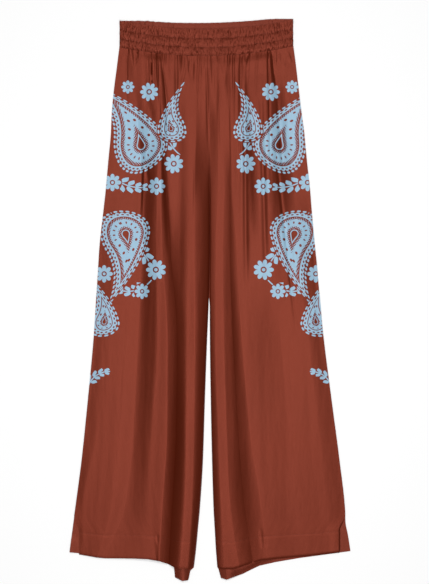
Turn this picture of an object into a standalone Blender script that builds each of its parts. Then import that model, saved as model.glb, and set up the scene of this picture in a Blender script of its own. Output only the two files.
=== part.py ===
"""Silk palazzo pants laid flat on their back, front up, as six walls of cloth.

The garment lies in the XY plane: +Y runs to the waist, +Z up, and the wearer's right leg is at -X.
Lengths are in millimetres until a mesh is made. Heights above the table are called levels.
"""

import math
from collections import namedtuple

import bmesh
import bpy
import numpy as np

MM = 0.001
INWARD = {"right": -1, "left": 1}  # the way from the inner edge into a leg

# Cloth and seams
WALL = 1.2  # wall of a leg panel
HALF_WALL = WALL / 2
SEAM_GAP = 0.3  # between any two pieces
HEM_DEPTH = 45.0  # turned-up hem
HEM_EXTRA = 0.35  # how much the turn-up thickens the hem
HEM_STEP = 4.0  # half the length over which it thickens
REST_LEVEL = WALL + SEAM_GAP + HALF_WALL  # middle of a front wall lying on the back panel
ROLL_FOOT_LEVEL = WALL + SEAM_GAP + 0.45  # end of a front wall that comes down upright
LEAST_LEVEL = REST_LEVEL + 0.2  # no small fold lowers a front wall beyond this
SEAM_LEVEL = 4.4  # middle of a front wall where it is sewn to the band
SEAM_PINCH = 18.0  # length over which the cloth rises from that seam

# Waistband
BAND_DEPTH = 51.0
CHANNELS = 3
CHANNEL_ROWS = (0.0, 0.2, 0.5, 0.8)  # rows of points down a channel, as shares of its depth
PLAIN_COLUMNS = 24  # columns of points across the band's plain faces
BACK_BAND_WALL = 2.6  # cloth, elastic, cloth
BACK_BAND_ROWS = (0.0, 0.5, 1.0)  # rows of points down the back band, as shares of its depth
CHANNEL_SEAM_LEVEL = 5.6  # outer face at a channel's stitching
CHANNEL_PUFF = 1.3  # how far a channel rises between its stitching
FIRST_CHANNEL_PHASE = 0.25  # the first channel starts part way up its puff, at the fold
PUFF_EASE = 0.7  # below 1 the puff stands full near its stitching
BAND_EDGE_LEVEL = 5.0  # outer face at the band's two ends
BAND_RIM = 0.015  # share of the band's width over which its ends round down
BAND_NOTCH = 2.0  # how far the stitching draws in the band's ends
NOTCH_SHARPNESS = 9
RUCHE_COUNT = 44
RUCHE_RISE = 0.9
RUCHE_WAVE = (0.5, -0.5, 0.15)  # the three columns of a ruche
RUCHE_SLANT = 5.0  # sideways lean of a ruche over the band's depth
Swing = namedtuple("Swing", "size waves start")  # a wander in waves along the band
RUCHE_WANDERS = (Swing(0.0035, 61.0, 0.0), Swing(0.002, 167.0, 1.3))
LEAN_WAVES = 23.0
RISE_CHANGE, RISE_WAVES, RISE_TURN = 0.3, 41.0, 9.0  # how a ruche's rise changes along and down the band
SEAM_RISE_SHARE = 0.3  # how much of it is left at a channel's stitching
BAND_DIP = 18.4  # how far the front band sags at the centre below its sides
BAND_SIDE_TOP = 542.0  # upper edge of the band at its sides

# The back band's upper edge
TopPoint = namedtuple("TopPoint", "across height")
BACK_BAND_TOP = (
    TopPoint(-176, 540.8), TopPoint(-130, 541.0), TopPoint(-100, 539.0), TopPoint(-60, 537.1),
    TopPoint(-20, 536.8), TopPoint(10, 537.3), TopPoint(45, 538.8), TopPoint(80, 541.0),
    TopPoint(110, 543.8), TopPoint(130, 544.8), TopPoint(161, 544.6),
)

# Vents at the foot of the outseams
VENT_DEPTH = 50.0
VENT_EASE = 34.0  # length over which the front edge swings in above the vent

# The outline. The outseams and the inner edges at each height, from the waist seam to the hem.
Section = namedtuple("Section", "height right_outseam left_outseam right_inner left_inner")
SECTIONS = (
    Section(495, -176.1, 162.0, -0.3, 0.0),
    Section(457, -180.8, 167.1, -0.3, 0.0),
    Section(410, -186.8, 172.6, -0.3, 0.0),
    Section(364, -191.1, 178.2, -0.3, 0.0),
    Section(317, -193.4, 184.3, -0.3, 0.0),
    Section(270, -197.9, 188.6, -0.3, 0.0),
    Section(214, -202.8, 194.8, -0.3, 0.0),
    Section(170, -207.7, 198.3, -0.3, 0.0),
    Section(98, -215.5, 204.8, -0.3, 0.0),
    Section(66, -217.5, 208.2, -0.7, -0.4),
    Section(40, -219.0, 210.3, -1.2, -0.8),
    Section(14, -220.8, 212.7, -1.6, -0.9),
    Section(-3, -221.9, 214.5, -2.3, -0.5),
    Section(-42, -224.2, 217.8, -3.9, -0.3),
    Section(-81, -227.0, 221.9, -5.6, -0.1),
    Section(-198, -238.0, 236.9, -9.9, 1.5),
    Section(-315, -250.2, 252.3, -13.7, 4.0),
    Section(-412, -263.0, 263.2, -19.9, 7.0),
    Section(-436, -266.2, 264.2, -22.2, 8.4),
    Section(-460, -269.4, 268.8, -24.4, 9.8),
    Section(-490, -273.2, 273.4, -27.3, 11.6),
    Section(-522, -277.0, 277.0, -31.2, 14.2),
    Section(-545, -279.0, 279.0, -34.4, 16.6),
)
CROTCH_TOP, CROTCH_FOOT = 285.0, 165.0  # where the centre seam opens into two rolled inner legs
CROTCH_EASE = 40.0  # length over which each inner edge draws back by half a wall below the crotch
BACK_GAP_SHIFT = 1.6  # the back legs part this far to the wearer's right of the front ones
BACK_SHIFT_FOOT, BACK_SHIFT_TOP = -14.0, 6.0

# Hem edges: how far down the cloth reaches at each place across a leg.
HemPoint = namedtuple("HemPoint", "across down")
FRONT_HEM = {
    "right": (HemPoint(-277, -498), HemPoint(-253, -499), HemPoint(-222, -504), HemPoint(-205, -506),
              HemPoint(-148, -506), HemPoint(-121, -507), HemPoint(-97, -511), HemPoint(-82, -517),
              HemPoint(-66, -524), HemPoint(-39, -525), HemPoint(-30, -521)),
    "left": (HemPoint(13, -521), HemPoint(21, -527), HemPoint(44, -526.5), HemPoint(56, -523),
             HemPoint(81, -515.5), HemPoint(100, -509.5), HemPoint(130, -506.3), HemPoint(175, -502.8), HemPoint(214, -499.4),
             HemPoint(252, -494.8), HemPoint(277, -492)),
}
BACK_HEM = {
    "right": (HemPoint(-277, -494), HemPoint(-253, -497), HemPoint(-205, -503), HemPoint(-110, -505),
              HemPoint(-76, -512), HemPoint(-69.5, -524), HemPoint(-67.5, -543), HemPoint(-53, -549.5),
              HemPoint(-42, -548.5), HemPoint(-40, -545), HemPoint(-37, -530),
              HemPoint(-30, -524)),
    "left": (HemPoint(15, -523), HemPoint(17.5, -527), HemPoint(22, -544), HemPoint(33, -547), HemPoint(51, -541),
             HemPoint(66, -536), HemPoint(82, -528), HemPoint(98, -520.5), HemPoint(129, -513.6),
             HemPoint(175, -505.8), HemPoint(277, -492)),
}
VENT_EDGE = {"right": -255.0, "left": 253.4}

# The long soft folds. Each line runs down the leg: where it lies across, and how high the cloth
# stands there, at eight stations. Turn 0 is a rounded crest, 0.6 a bend, 1.5 a sharp trough.
STATIONS = (446, 348, 231, 95, -81, -256, -393, -510)
Fold = namedtuple("Fold", "name turn across level")
FOLDS = {
    "right": (
        Fold("side bend", 0.4, (-166, -164, -168, -184, -203, -218, -245, -247),
             (2.5, 2.4, 2.4, 4.5, 4.2, 4.4, 3.6, 2.6)),
        Fold("outer swell", 0.6, (-148, -141, -133, -143, -162, -176, -190, -220),
             (4.3, 2.7, 3.2, 4.1, 4.4, 5.2, 5.6, 4.3)),
        Fold("shelf", 0.3, (-109, -116, -128, -132, -140, -149, -163, -206),
             (7.0, 7.1, 6.0, 3.7, 2.9, 2.9, 2.9, 3.2)),
        Fold("first ridge, outer side", 0.5, (-105, -97, -102, -104, -102, -113, -118, -104),
             (7.6, 8.5, 12.9, 10.9, 11.6, 9.5, 8.1, 8.5)),
        Fold("first ridge, inner side", 0.6, (-95, -93, -95, -93, -83, -84, -92, -100),
             (6.8, 7.5, 12.8, 11.6, 13.1, 11.6, 10.1, 9.7)),
        Fold("deep valley", 1.5, (-90, -84, -86, -77, -64, -66, -73, -81),
             (5.3, 3.7, 8.8, 6.6, 6.4, 4.0, 2.9, 2.9)),
        Fold("second ridge, outer side", 0.2, (-48, -45, -33, -41, -45, -46, -49, -59),
             (4.1, 7.2, 11.6, 14.0, 13.1, 13.9, 14.0, 12.4)),
        Fold("second ridge, inner side", 1.2, (-36, -27, -30, -31, -30, -32, -35, -44),
             (4.1, 6.9, 12.1, 14.4, 14.2, 13.0, 12.9, 11.1)),
    ),
    "left": (
        Fold("side bend", 0.3, (139, 153, 163, 169, 192, 211, 225, 241),
             (2.4, 2.4, 2.4, 6.4, 4.8, 4.9, 4.7, 2.8)),
        Fold("outer swell", 0.4, (110, 106, 112, 118, 138, 153, 163, 182),
             (6.5, 11.6, 13.8, 9.7, 2.9, 5.4, 7.0, 4.5)),
        Fold("shelf", 0.45, (43, 41, 43, 52, 62, 78, 98, 113),
             (5.1, 6.9, 4.4, 6.3, 8.9, 10.0, 11.0, 8.0)),
        Fold("valley", 1.4, (35, 37, 39, 39, 45, 55, 66, 84),
             (4.5, 6.1, 3.6, 3.1, 3.2, 3.8, 2.9, 2.9)),
        Fold("ridge, outer side", 0.6, (30, 19, 28, 25, 27, 32, 38, 57),
             (5.4, 6.5, 5.7, 5.9, 7.4, 9.4, 10.1, 8.9)),
        Fold("ridge, inner side", 0.8, (26, 16, 16, 12, 11, 16, 21, 29),
             (5.2, 7.0, 5.5, 5.4, 6.2, 8.2, 9.0, 6.6)),
    ),
}

# How the span beside an inner edge rolls down, as powers of its share: an easy fall over the whole
# span, a quicker one towards its end, and a drop at the very edge.
Roll = namedtuple("Roll", "ease fall fall_share drop drop_share")
ROLLS = {"right": Roll(1.39, 3.5, 0.12, 26.0, 0.2), "left": Roll(1.32, 4.3, 0.05, 30.0, 0.3)}
INNER_EDGE_LEVEL = (5.2, 3.9, 2.8, REST_LEVEL, REST_LEVEL, REST_LEVEL, REST_LEVEL, REST_LEVEL)
COLUMNS_BETWEEN_FOLDS = {"right": (2, 3, 3, 3, 2, 4, 4, 2), "left": (2, 3, 4, 4, 3, 2)}
ROLL_COLUMNS = (0.0, 0.3, 0.55, 0.75, 0.88, 0.95, 1.0)  # shares of the span that rolls down

# The gathers under the band: where each starts, how far it drifts, its length, depth and width.
# Each is widest at the seam and narrows to its foot.
GATHER_HEAD, GATHER_FOOT = 1.25, 0.6  # widths there, against the gather's own
GATHER_HOLD = 0.25  # share of its length over which it keeps its full depth
Gather = namedtuple("Gather", "across drift length depth width")
GATHERS = {
    "right": (
        Gather(-161, 0, 127, 1.2, 0.8),
        Gather(-151, 2, 38, 0.8, 1.1),
        Gather(-146, 1, 35, 1.1, 3.8),
        Gather(-126, 4, 326, 0.6, 5.1),
        Gather(-115, 3, 105, 1.7, 0.7),
        Gather(-103, 3, 132, 1.4, 2.0),
        Gather(-97, 21, 160, 0.7, 2.5),
        Gather(-77, 2, 69, 0.7, 5.0),
        Gather(-66, 2, 232, 1.2, 3.2),
        Gather(-57, 1, 52, 1.2, 1.7),
        Gather(-44, -23, 126, 0.7, 2.9),
        Gather(-40, 6, 69, 1.2, 5.3),
        Gather(-26, 5, 165, 0.8, 1.1),
        Gather(-10, -11, 246, 0.3, 5.2),
        Gather(-87, 1, 38, 0.6, 1.1),
        Gather(-42, 1, 44, 1.1, 1.0),
        Gather(-32, -2, 77, 0.7, 1.6),
        Gather(-19, 3, 94, 0.9, 1.3),
        Gather(-6, -1, 67, 0.6, 1.0),
        Gather(-141, -1, 18, 1.0, 1.3),
        Gather(-120, 1, 98, 0.7, 1.0),
    ),
    "left": (
        Gather(142, 3, 36, 0.9, 2.2),
        Gather(132, 0, 133, 0.9, 4.6),
        Gather(121, 10, 111, 2.5, 4.2),
        Gather(113, 6, 322, 1.1, 1.9),
        Gather(92, -5, 110, 0.5, 2.3),
        Gather(70, 0, 28, 2.1, 3.0),
        Gather(60, -3, 324, 1.7, 3.2),
        Gather(46, -1, 190, 1.0, 2.1),
        Gather(37, 1, 24, 1.2, 2.4),
        Gather(22, 4, 45, 0.8, 4.6),
        Gather(11, 3, 185, 1.0, 4.5),
        Gather(3, 3, 92, 1.4, 1.2),
        Gather(16, 1, 33, 0.8, 1.3),
        Gather(28, 18, 161, 0.6, 5.0),
        Gather(34, 3, 37, 0.5, 1.6),
        Gather(53, -4, 62, 0.5, 1.8),
        Gather(104, 0, 61, 0.3, 1.4),
        Gather(76, -3, 84, 0.6, 1.0),
    ),
}
COLUMNS_BETWEEN_GATHERS = 3
LEAST_GAP = 1.5  # the nearest that two gathers' columns come

# Small troughs that start below the gathers: from, to, depth and width.
Trough = namedtuple("Trough", "top_across top foot_across foot depth width")
TROUGHS = {
    "right": (
        Trough(-59, 424, -61, 21, 1.5, 11.8),
        Trough(-120, 397, -114, 341, 1.3, 6.2),
        Trough(-97, 393, -80, 88, 1.4, 3.9),
        Trough(-132, 287, -115, 211, 1.2, 3.6),
        Trough(-6, 470, -2, 290, 1.4, 2.6),
    ),
    "left": (
        Trough(66, 486, 71, 21, 2.4, 4.7),
        Trough(99, 405, 109, 35, 2.0, 4.9),
        Trough(123, 327, 168, -64, 1.1, 2.9),
        Trough(69, 411, 81, 119, 1.7, 7.6),
        Trough(131, 391, 142, 240, 1.1, 3.5),
    ),
}

GATHERED_ROWS = (492, 486, 478, 468, 454, 438, 418, 394, 366)
DRAPED_ROWS = (334, 296, 258, 226, 200, 170, 134, 90, 48, 14, -14, -60, -116, -178, -240, -300, -354,
               -400, -430, -442, -458, -467, -488, -508)
BACK_ROWS = (492, 457, 410, 364, 317, 270, 214, 170, 98, 26, -3, -42, -81, -140, -198, -256, -315,
             -364, -412, -450, -480, -508)
SEAM_ROW, HEM_ROW = 492.0, -508.0  # nominal heights of the waist seam and of the hem edge
SEAM_CURVE_FOOT = 340.0  # above this the rows follow the waist seam
HEM_CURVE_TOP = -400.0  # below this they follow the hem

END_TURN = 0.8  # turn of the cloth at a panel's two edges
FLAT_EDGE = 6.0  # gathers fade within this distance of a panel's edges
TROUGH_EASE = 0.6  # below 1 a trough is near its full depth over most of its length
LEVEL_STEPS = 30  # halvings that find a place along a section
SIDE_MATCH = 1e-6  # how close two rows' shares are where a rim joins them with one face

SILK = (0.27, 0.055, 0.036, 1.0)
SILK_SHADE = (0.20, 0.045, 0.030, 1.0)
SILK_ROUGHNESS = 0.42
SHARP_ANGLE = 50  # degrees


def smooth_step(low, high, value):
    """0 below low, 1 above high, eased between; low may be the larger."""
    t = min(1.0, max(0.0, (value - low) / (high - low)))
    return t * t * (3 - 2 * t)


def mix(a, b, t):
    return a + (b - a) * t


def curve_through(places, values, at):
    """The value at a place on a smooth curve through (place, value) pairs, which never overshoots."""
    order = np.argsort(places)
    x = np.asarray(places, float)[order]
    y = np.asarray(values, float)[order]
    rises = np.diff(y) / np.diff(x)
    slopes = np.concatenate([rises[:1], np.zeros(len(x) - 2), rises[-1:]])
    same_way = rises[:-1] * rises[1:] > 0
    both = rises[:-1] + rises[1:]
    slopes[1:-1][same_way] = 2 * (rises[:-1] * rises[1:])[same_way] / both[same_way]
    i = int(np.clip(np.searchsorted(x, at) - 1, 0, len(x) - 2))
    span = x[i + 1] - x[i]
    t = min(1.0, max(0.0, (at - x[i]) / span))
    return hermite(y[i], y[i + 1], slopes[i] * span, slopes[i + 1] * span, t)


def hermite(start, end, slope_start, slope_end, t):
    t2, t3 = t * t, t * t * t
    return (
        (2 * t3 - 3 * t2 + 1) * start
        + (t3 - 2 * t2 + t) * slope_start
        + (3 * t2 - 2 * t3) * end
        + (t3 - t2) * slope_end
    )


def section_value(column, height):
    return curve_through([s.height for s in SECTIONS], [getattr(s, column) for s in SECTIONS], height)


def band_top(across):
    """Height of the front band's upper edge: it sags between the sides."""
    half = (SECTIONS[0].left_outseam - SECTIONS[0].right_outseam) / 2
    middle = (SECTIONS[0].left_outseam + SECTIONS[0].right_outseam) / 2
    share = min(1.0, abs((across - middle) / half))
    return BAND_SIDE_TOP - BAND_DIP * (1 - share * share) + across / half


def waist_seam(across):
    return band_top(across) - BAND_DEPTH


def hem_edge(points, across):
    return float(np.interp(across, [p.across for p in points], [p.down for p in points]))


def front_outseam(side, height):
    """The front panel's outer edge: the outseam, then the vent's edge, set in."""
    seam = section_value(side + "_outseam", height)
    vent_top = HEM_ROW + VENT_DEPTH
    return mix(seam, VENT_EDGE[side], smooth_step(vent_top + VENT_EASE, vent_top, height))


def gather_share(gather, height):
    """How far down a gather this height is: 0 at the seam, 1 from its foot on."""
    return min(1.0, max(0.0, (SEAM_ROW - height) / gather.length))


def gather_place(gather, height):
    """Where a gather's line has drifted to at this height."""
    return gather.across + gather.drift * gather_share(gather, height)


def kept_apart(places, outseam, inner):
    """The places in order from the outseam, moved on where two are too near, and the inner edge."""
    way = 1 if inner > outseam else -1
    found = []
    for place in sorted(places, key=lambda x: abs(x - outseam)):
        found.append(place if not found else way * max(way * place, way * found[-1] + LEAST_GAP))
    return found + [inner]


def small_folds(side, across, height):
    """How much the gathers and troughs lower the cloth at a point."""
    low = 0.0
    for g in GATHERS[side]:
        fade = 1 - smooth_step(SEAM_ROW - GATHER_HOLD * g.length, SEAM_ROW - g.length, height)
        width = g.width * mix(GATHER_HEAD, GATHER_FOOT, gather_share(g, height))
        low += g.depth * fade * math.exp(-(((across - gather_place(g, height)) / width) ** 2))
    for t in TROUGHS[side]:
        share = (t.top - height) / (t.top - t.foot)
        if 0 < share < 1:
            fade = math.sin(math.pi * share) ** TROUGH_EASE
            place = mix(t.top_across, t.foot_across, share)
            low += t.depth * fade * math.exp(-(((across - place) / t.width) ** 2))
    return low


def fold_lines(side, height):
    """(across, level, turn) of each fold line at this height, from the outseam to the inner edge."""
    lines = [(front_outseam(side, height), REST_LEVEL, END_TURN)]
    for fold in FOLDS[side]:
        place = curve_through(STATIONS, fold.across, height)
        lines.append((place, curve_through(STATIONS, fold.level, height), fold.turn))
    hem = FRONT_HEM[side][-1 if side == "right" else 0]
    inner = section_value(side + "_inner", height + hem_share(height) * (hem.down - HEM_ROW))
    inner += INWARD[side] * HALF_WALL * smooth_step(CROTCH_TOP, CROTCH_TOP - CROTCH_EASE, height)
    level = curve_through(STATIONS, INNER_EDGE_LEVEL, height)
    lines.append((inner, mix(level, ROLL_FOOT_LEVEL, roll_share(height)), END_TURN))
    return lines


def roll_share(height):
    """0 where the two fronts are joined by the centre seam, 1 where each inner leg rolls down."""
    return smooth_step(CROTCH_TOP, CROTCH_FOOT, height)


def hem_share(height):
    return smooth_step(HEM_CURVE_TOP, HEM_ROW, height)


def span_point(start, end, share):
    """A point between two fold lines."""
    x0, z0, turn0 = start
    x1, z1, turn1 = end
    rise = z1 - z0
    return mix(x0, x1, share), hermite(z0, z1, rise * turn0, rise * turn1, share)


def fallen(shape, share):
    """How far an inner leg has rolled down: 0 at its ridge, 1 at its edge, ever steeper."""
    eased = 1 - shape.fall_share - shape.drop_share
    return (
        eased * share**shape.ease
        + shape.fall_share * share**shape.fall
        + shape.drop_share * share**shape.drop
    )


def profile(side, height):
    """The folds' section at this height as a function from a count of spans to a level."""
    lines = fold_lines(side, height)
    roll = roll_share(height)
    last = len(lines) - 2  # the span that rolls down to the inner edge

    def at(position):
        span = min(int(position), last)
        share = position - span
        x, z = span_point(lines[span], lines[span + 1], share)
        if span == last:
            z = mix(z, mix(lines[span][1], lines[span + 1][1], fallen(ROLLS[side], share)), roll)
        return x, z

    return at


def draped_positions(side):
    """Column positions, counted in spans between fold lines; the rolled span has its own."""
    found = []
    for span, count in enumerate(COLUMNS_BETWEEN_FOLDS[side]):
        found += [span + i / count for i in range(count)]
    last = len(COLUMNS_BETWEEN_FOLDS[side])
    return found + [last + share for share in ROLL_COLUMNS]


def level_between(section, spans, across):
    """The folds' level at a place across, found by halving along the section."""
    low, high = 0.0, float(spans)
    outward = section(0)[0] < section(spans)[0]
    for _ in range(LEVEL_STEPS):
        middle = (low + high) / 2
        if (section(middle)[0] < across) == outward:
            low = middle
        else:
            high = middle
    return section(low)[1]


def row_height(nominal, across, hem):
    """Rows near the waist follow its seam, and rows near the hem follow the hem edge."""
    to_seam = smooth_step(SEAM_CURVE_FOOT, SEAM_ROW, nominal)
    seam_shift = waist_seam(across) - SEAM_GAP / 2 - SEAM_ROW
    return nominal + to_seam * seam_shift + hem_share(nominal) * (hem_edge(hem, across) - HEM_ROW)


def front_row(side, nominal):
    """Middle-surface points of one row of a front panel, from the outseam to the inner edge."""
    section = profile(side, nominal)
    spans = len(COLUMNS_BETWEEN_FOLDS[side]) + 1
    if nominal in GATHERED_ROWS:
        outseam, inner = section(0)[0], section(spans)[0]
        edges = kept_apart([outseam] + [gather_place(g, nominal) for g in GATHERS[side]], outseam, inner)
        across = []
        for a, b in zip(edges, edges[1:]):
            across += [mix(a, b, i / COLUMNS_BETWEEN_GATHERS) for i in range(COLUMNS_BETWEEN_GATHERS)]
        across.append(inner)
        points = [(x, level_between(section, spans, x)) for x in across]
    else:
        points = [section(p) for p in draped_positions(side)]
    risen = smooth_step(SEAM_ROW, SEAM_ROW - SEAM_PINCH, nominal)
    row = []
    for x, z in points:
        inset = min(abs(x - points[0][0]), abs(x - points[-1][0]))
        low = small_folds(side, x, nominal) * min(1.0, inset / FLAT_EDGE)
        sewn = mix(min(z, SEAM_LEVEL), z, risen)
        level = max(sewn - low, min(sewn, LEAST_LEVEL))
        row.append((x, row_height(nominal, x, FRONT_HEM[side]), level))
    return row


def wall_rows(row, below, above, upright_end):
    """The row's inner and outer points, offset square to the section; y stays."""
    inner, outer = [], []
    last = len(row) - 1
    for i, (x, y, z) in enumerate(row):
        xa, _, za = row[max(i - 1, 0)]
        xb, _, zb = row[min(i + 1, last)]
        dx, dz = xb - xa, zb - za
        length = math.hypot(dx, dz)
        nx, nz = -dz / length, dx / length
        if nz < 0:
            nx, nz = -nx, -nz
        if i == 0 or (i == last and upright_end):
            nx, nz = 0.0, 1.0
        inner.append((x - nx * below, y, z - nz * below))
        outer.append((x + nx * above, y, z + nz * above))
    return inner, outer


class Wall:
    """A closed wall between an outer and an inner sheet of rows, made in one bmesh."""

    def __init__(self):
        self.bm = bmesh.new()

    def row(self, points):
        return [self.bm.verts.new((x * MM, y * MM, z * MM)) for x, y, z in points]

    def face(self, verts, flip):
        self.bm.faces.new(reversed(verts) if flip else verts)

    def strip(self, a, b, flip):
        """Faces between two rows; rows of different counts are zipped by their places across."""
        if len(a) == len(b):
            for i in range(len(a) - 1):
                self.face([a[i], b[i], b[i + 1], a[i + 1]], flip)
            return
        share_a = shares([v.co.x for v in a])
        share_b = shares([v.co.x for v in b])
        i = j = 0
        while i < len(a) - 1 or j < len(b) - 1:
            step_a = j == len(b) - 1 or (i < len(a) - 1 and share_a[i + 1] <= share_b[j + 1])
            if step_a:
                self.face([a[i], b[j], a[i + 1]], flip)
                i += 1
            else:
                self.face([a[i], b[j], b[j + 1]], flip)
                j += 1

    def close(self, outer, inner, flip):
        """Both sheets and the four rims. Rows run from the waist to the hem."""
        for sheet, turned in ((outer, flip), (inner, not flip)):
            for a, b in zip(sheet, sheet[1:]):
                self.strip(a, b, turned)
        self.strip(inner[0], outer[0], flip)
        self.strip(outer[-1], inner[-1], flip)
        self.side([row[0] for row in outer], [row[0] for row in inner], flip)
        self.side([row[-1] for row in inner], [row[-1] for row in outer], flip)

    def side(self, a, b, flip):
        """A rim down one side; the sheets may have rows of their own between the same ends."""
        share_a = shares([-v.co.y for v in a])
        share_b = shares([-v.co.y for v in b])
        i = j = 0
        while i < len(a) - 1 or j < len(b) - 1:
            both = i < len(a) - 1 and j < len(b) - 1
            if both and abs(share_a[i + 1] - share_b[j + 1]) < SIDE_MATCH:
                self.face([a[i], b[j], b[j + 1], a[i + 1]], flip)
                i, j = i + 1, j + 1
            elif j == len(b) - 1 or (both and share_a[i + 1] < share_b[j + 1]):
                self.face([a[i], b[j], a[i + 1]], flip)
                i += 1
            else:
                self.face([a[i], b[j], b[j + 1]], flip)
                j += 1

    def finish(self, name, colour):
        bmesh.ops.recalc_face_normals(self.bm, faces=self.bm.faces)
        mesh = bpy.data.meshes.new(name)
        self.bm.to_mesh(mesh)
        self.bm.free()
        mesh.shade_smooth()
        mesh.set_sharp_from_angle(angle=math.radians(SHARP_ANGLE))
        mesh.materials.append(silk(name + " silk", colour))
        obj = bpy.data.objects.new(name, mesh)
        bpy.context.scene.collection.objects.link(obj)
        return obj


def shares(values):
    """Values rewritten to run from 0 to 1."""
    start, end = values[0], values[-1]
    return [(v - start) / (end - start) for v in values]


def silk(name, colour):
    material = bpy.data.materials.new(name)
    material.use_nodes = True
    shader = material.node_tree.nodes["Principled BSDF"]
    shader.inputs["Base Color"].default_value = colour
    shader.inputs["Roughness"].default_value = SILK_ROUGHNESS
    shader.inputs["Metallic"].default_value = 0.0
    return material


def front_panel(side):
    """One front leg: gathered rows, then draped rows, with a thicker turned-up hem."""
    wall = Wall()
    outer, inner = [], []
    for nominal in GATHERED_ROWS + DRAPED_ROWS:
        row = front_row(side, nominal)
        stitching = HEM_ROW + HEM_DEPTH
        extra = HEM_EXTRA * smooth_step(stitching + HEM_STEP, stitching - HEM_STEP, nominal)
        low, high = wall_rows(row, HALF_WALL, HALF_WALL + extra, nominal > CROTCH_TOP)
        inner.append(wall.row(low))
        outer.append(wall.row(high))
    wall.close(outer, inner, side == "left")
    return wall.finish("front_" + side, SILK)


def back_panel(side):
    """One back leg: flat on the table, with its own hem."""
    wall = Wall()
    hem = BACK_HEM[side][:: -1 if side == "left" else 1]
    outer, inner = [], []
    for nominal in BACK_ROWS:
        to_hem = hem_share(nominal)
        start = section_value(side + "_outseam", nominal + to_hem * (hem[0].down - HEM_ROW))
        end = section_value(side + "_inner", nominal + to_hem * (hem[-1].down - HEM_ROW))
        end -= BACK_GAP_SHIFT * smooth_step(BACK_SHIFT_FOOT, BACK_SHIFT_TOP, nominal)
        if nominal > HEM_CURVE_TOP:
            row = [(mix(start, end, t / 2), nominal - SEAM_GAP) for t in range(3)]
        else:
            row = []
            for point in hem:
                share = (point.across - hem[0].across) / (hem[-1].across - hem[0].across)
                row.append((mix(start, end, share), nominal + to_hem * (point.down - HEM_ROW)))
        inner.append(wall.row([(x, y, WALL) for x, y in row]))
        outer.append(wall.row([(x, y, 0.0) for x, y in row]))
    wall.close(outer, inner, side == "right")
    return wall.finish("back_" + side, SILK_SHADE)


def channel_puff(share):
    """0 at the stitching of a channel, 1 at its middle, for a share of the band's depth."""
    t = share * CHANNELS
    phase = mix(FIRST_CHANNEL_PHASE, 1.0, t) if t < 1 else t % 1.0
    return math.sin(math.pi * phase) ** PUFF_EASE


def ruche(column, count):
    """Places of the ruches are uneven: a slow and a quick wander on an even step."""
    even = column / count
    return even + sum(w.size * math.sin(even * w.waves + w.start) for w in RUCHE_WANDERS)


def band_end(x, depth_share):
    """A place across the band, drawn in near its ends along the stitching between channels."""
    left, right = SECTIONS[0].right_outseam, SECTIONS[0].left_outseam
    middle, half = (left + right) / 2, (right - left) / 2
    seams = (1 - channel_puff(depth_share)) if 0 < depth_share < 1 else 0.0
    return x - BAND_NOTCH * seams * ((x - middle) / half) ** NOTCH_SHARPNESS


def waistband_front():
    """Three ruched channels over a plain inner face."""
    wall = Wall()
    left, right = SECTIONS[0].right_outseam, SECTIONS[0].left_outseam
    columns = RUCHE_COUNT * len(RUCHE_WAVE)
    depth_shares = [(c + t) / CHANNELS for c in range(CHANNELS) for t in CHANNEL_ROWS] + [1.0]
    outer = []
    for share in depth_shares:
        puff = channel_puff(share)
        row = []
        for i in range(columns + 1):
            ease = smooth_step(0.0, BAND_RIM, min(i, columns - i) / columns)
            place = ruche(i, columns) if 0 < i < columns else i / columns
            lean = RUCHE_SLANT * (share - 0.5) * math.sin(place * LEAN_WAVES) * ease
            x = band_end(mix(left, right, place) + lean, share)
            swing = math.sin(place * RISE_WAVES + share * RISE_TURN)
            wave = RUCHE_WAVE[i % len(RUCHE_WAVE)] * (1 - RISE_CHANGE + RISE_CHANGE * swing)
            rise = RUCHE_RISE * mix(SEAM_RISE_SHARE, 1.0, puff) * wave
            level = CHANNEL_SEAM_LEVEL + CHANNEL_PUFF * puff + rise
            level = mix(BAND_EDGE_LEVEL, level, ease)
            row.append((x, band_top(x) - BAND_DEPTH * share + SEAM_GAP / 2, level))
        outer.append(wall.row(row))
    inner = []
    floor = BACK_BAND_WALL + SEAM_GAP
    for share in (0.0, 1.0):
        xs = [mix(left, right, i / PLAIN_COLUMNS) for i in range(PLAIN_COLUMNS + 1)]
        inner.append(wall.row([(x, band_top(x) - BAND_DEPTH * share + SEAM_GAP / 2, floor) for x in xs]))
    wall.close(outer, inner, False)
    return wall.finish("waistband_front", SILK)


def back_band_top(across):
    """The back band's upper edge, which shows above the front band's dip."""
    return curve_through([p.across for p in BACK_BAND_TOP], [p.height for p in BACK_BAND_TOP], across)


def waistband_back():
    """The back half of the band, flat on the table."""
    wall = Wall()
    left, right = SECTIONS[0].right_outseam, SECTIONS[0].left_outseam
    xs = [mix(left, right, i / PLAIN_COLUMNS) for i in range(PLAIN_COLUMNS + 1)]
    outer, inner = [], []
    for share in BACK_BAND_ROWS:
        ys = [mix(back_band_top(x), SEAM_ROW, share) for x in xs]
        inner.append(wall.row([(x, y, BACK_BAND_WALL) for x, y in zip(xs, ys)]))
        outer.append(wall.row([(x, y, 0.0) for x, y in zip(xs, ys)]))
    wall.close(outer, inner, True)
    return wall.finish("waistband_back", SILK_SHADE)


def clear_scene():
    for obj in list(bpy.data.objects):
        bpy.data.objects.remove(obj)


def main():
    clear_scene()
    for side in ("right", "left"):
        back_panel(side)
        front_panel(side)
    waistband_back()
    waistband_front()


main()
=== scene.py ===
"""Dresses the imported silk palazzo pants: draped silk twill legs, a ruched waistband, stitching and a stage.

Sizes in the tables are millimetres; meshes are made in metres. The garment lies on its back, front up,
with +Y to the waist and the wearer's right leg at -X.
"""

import math
from collections import namedtuple
from functools import lru_cache

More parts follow.
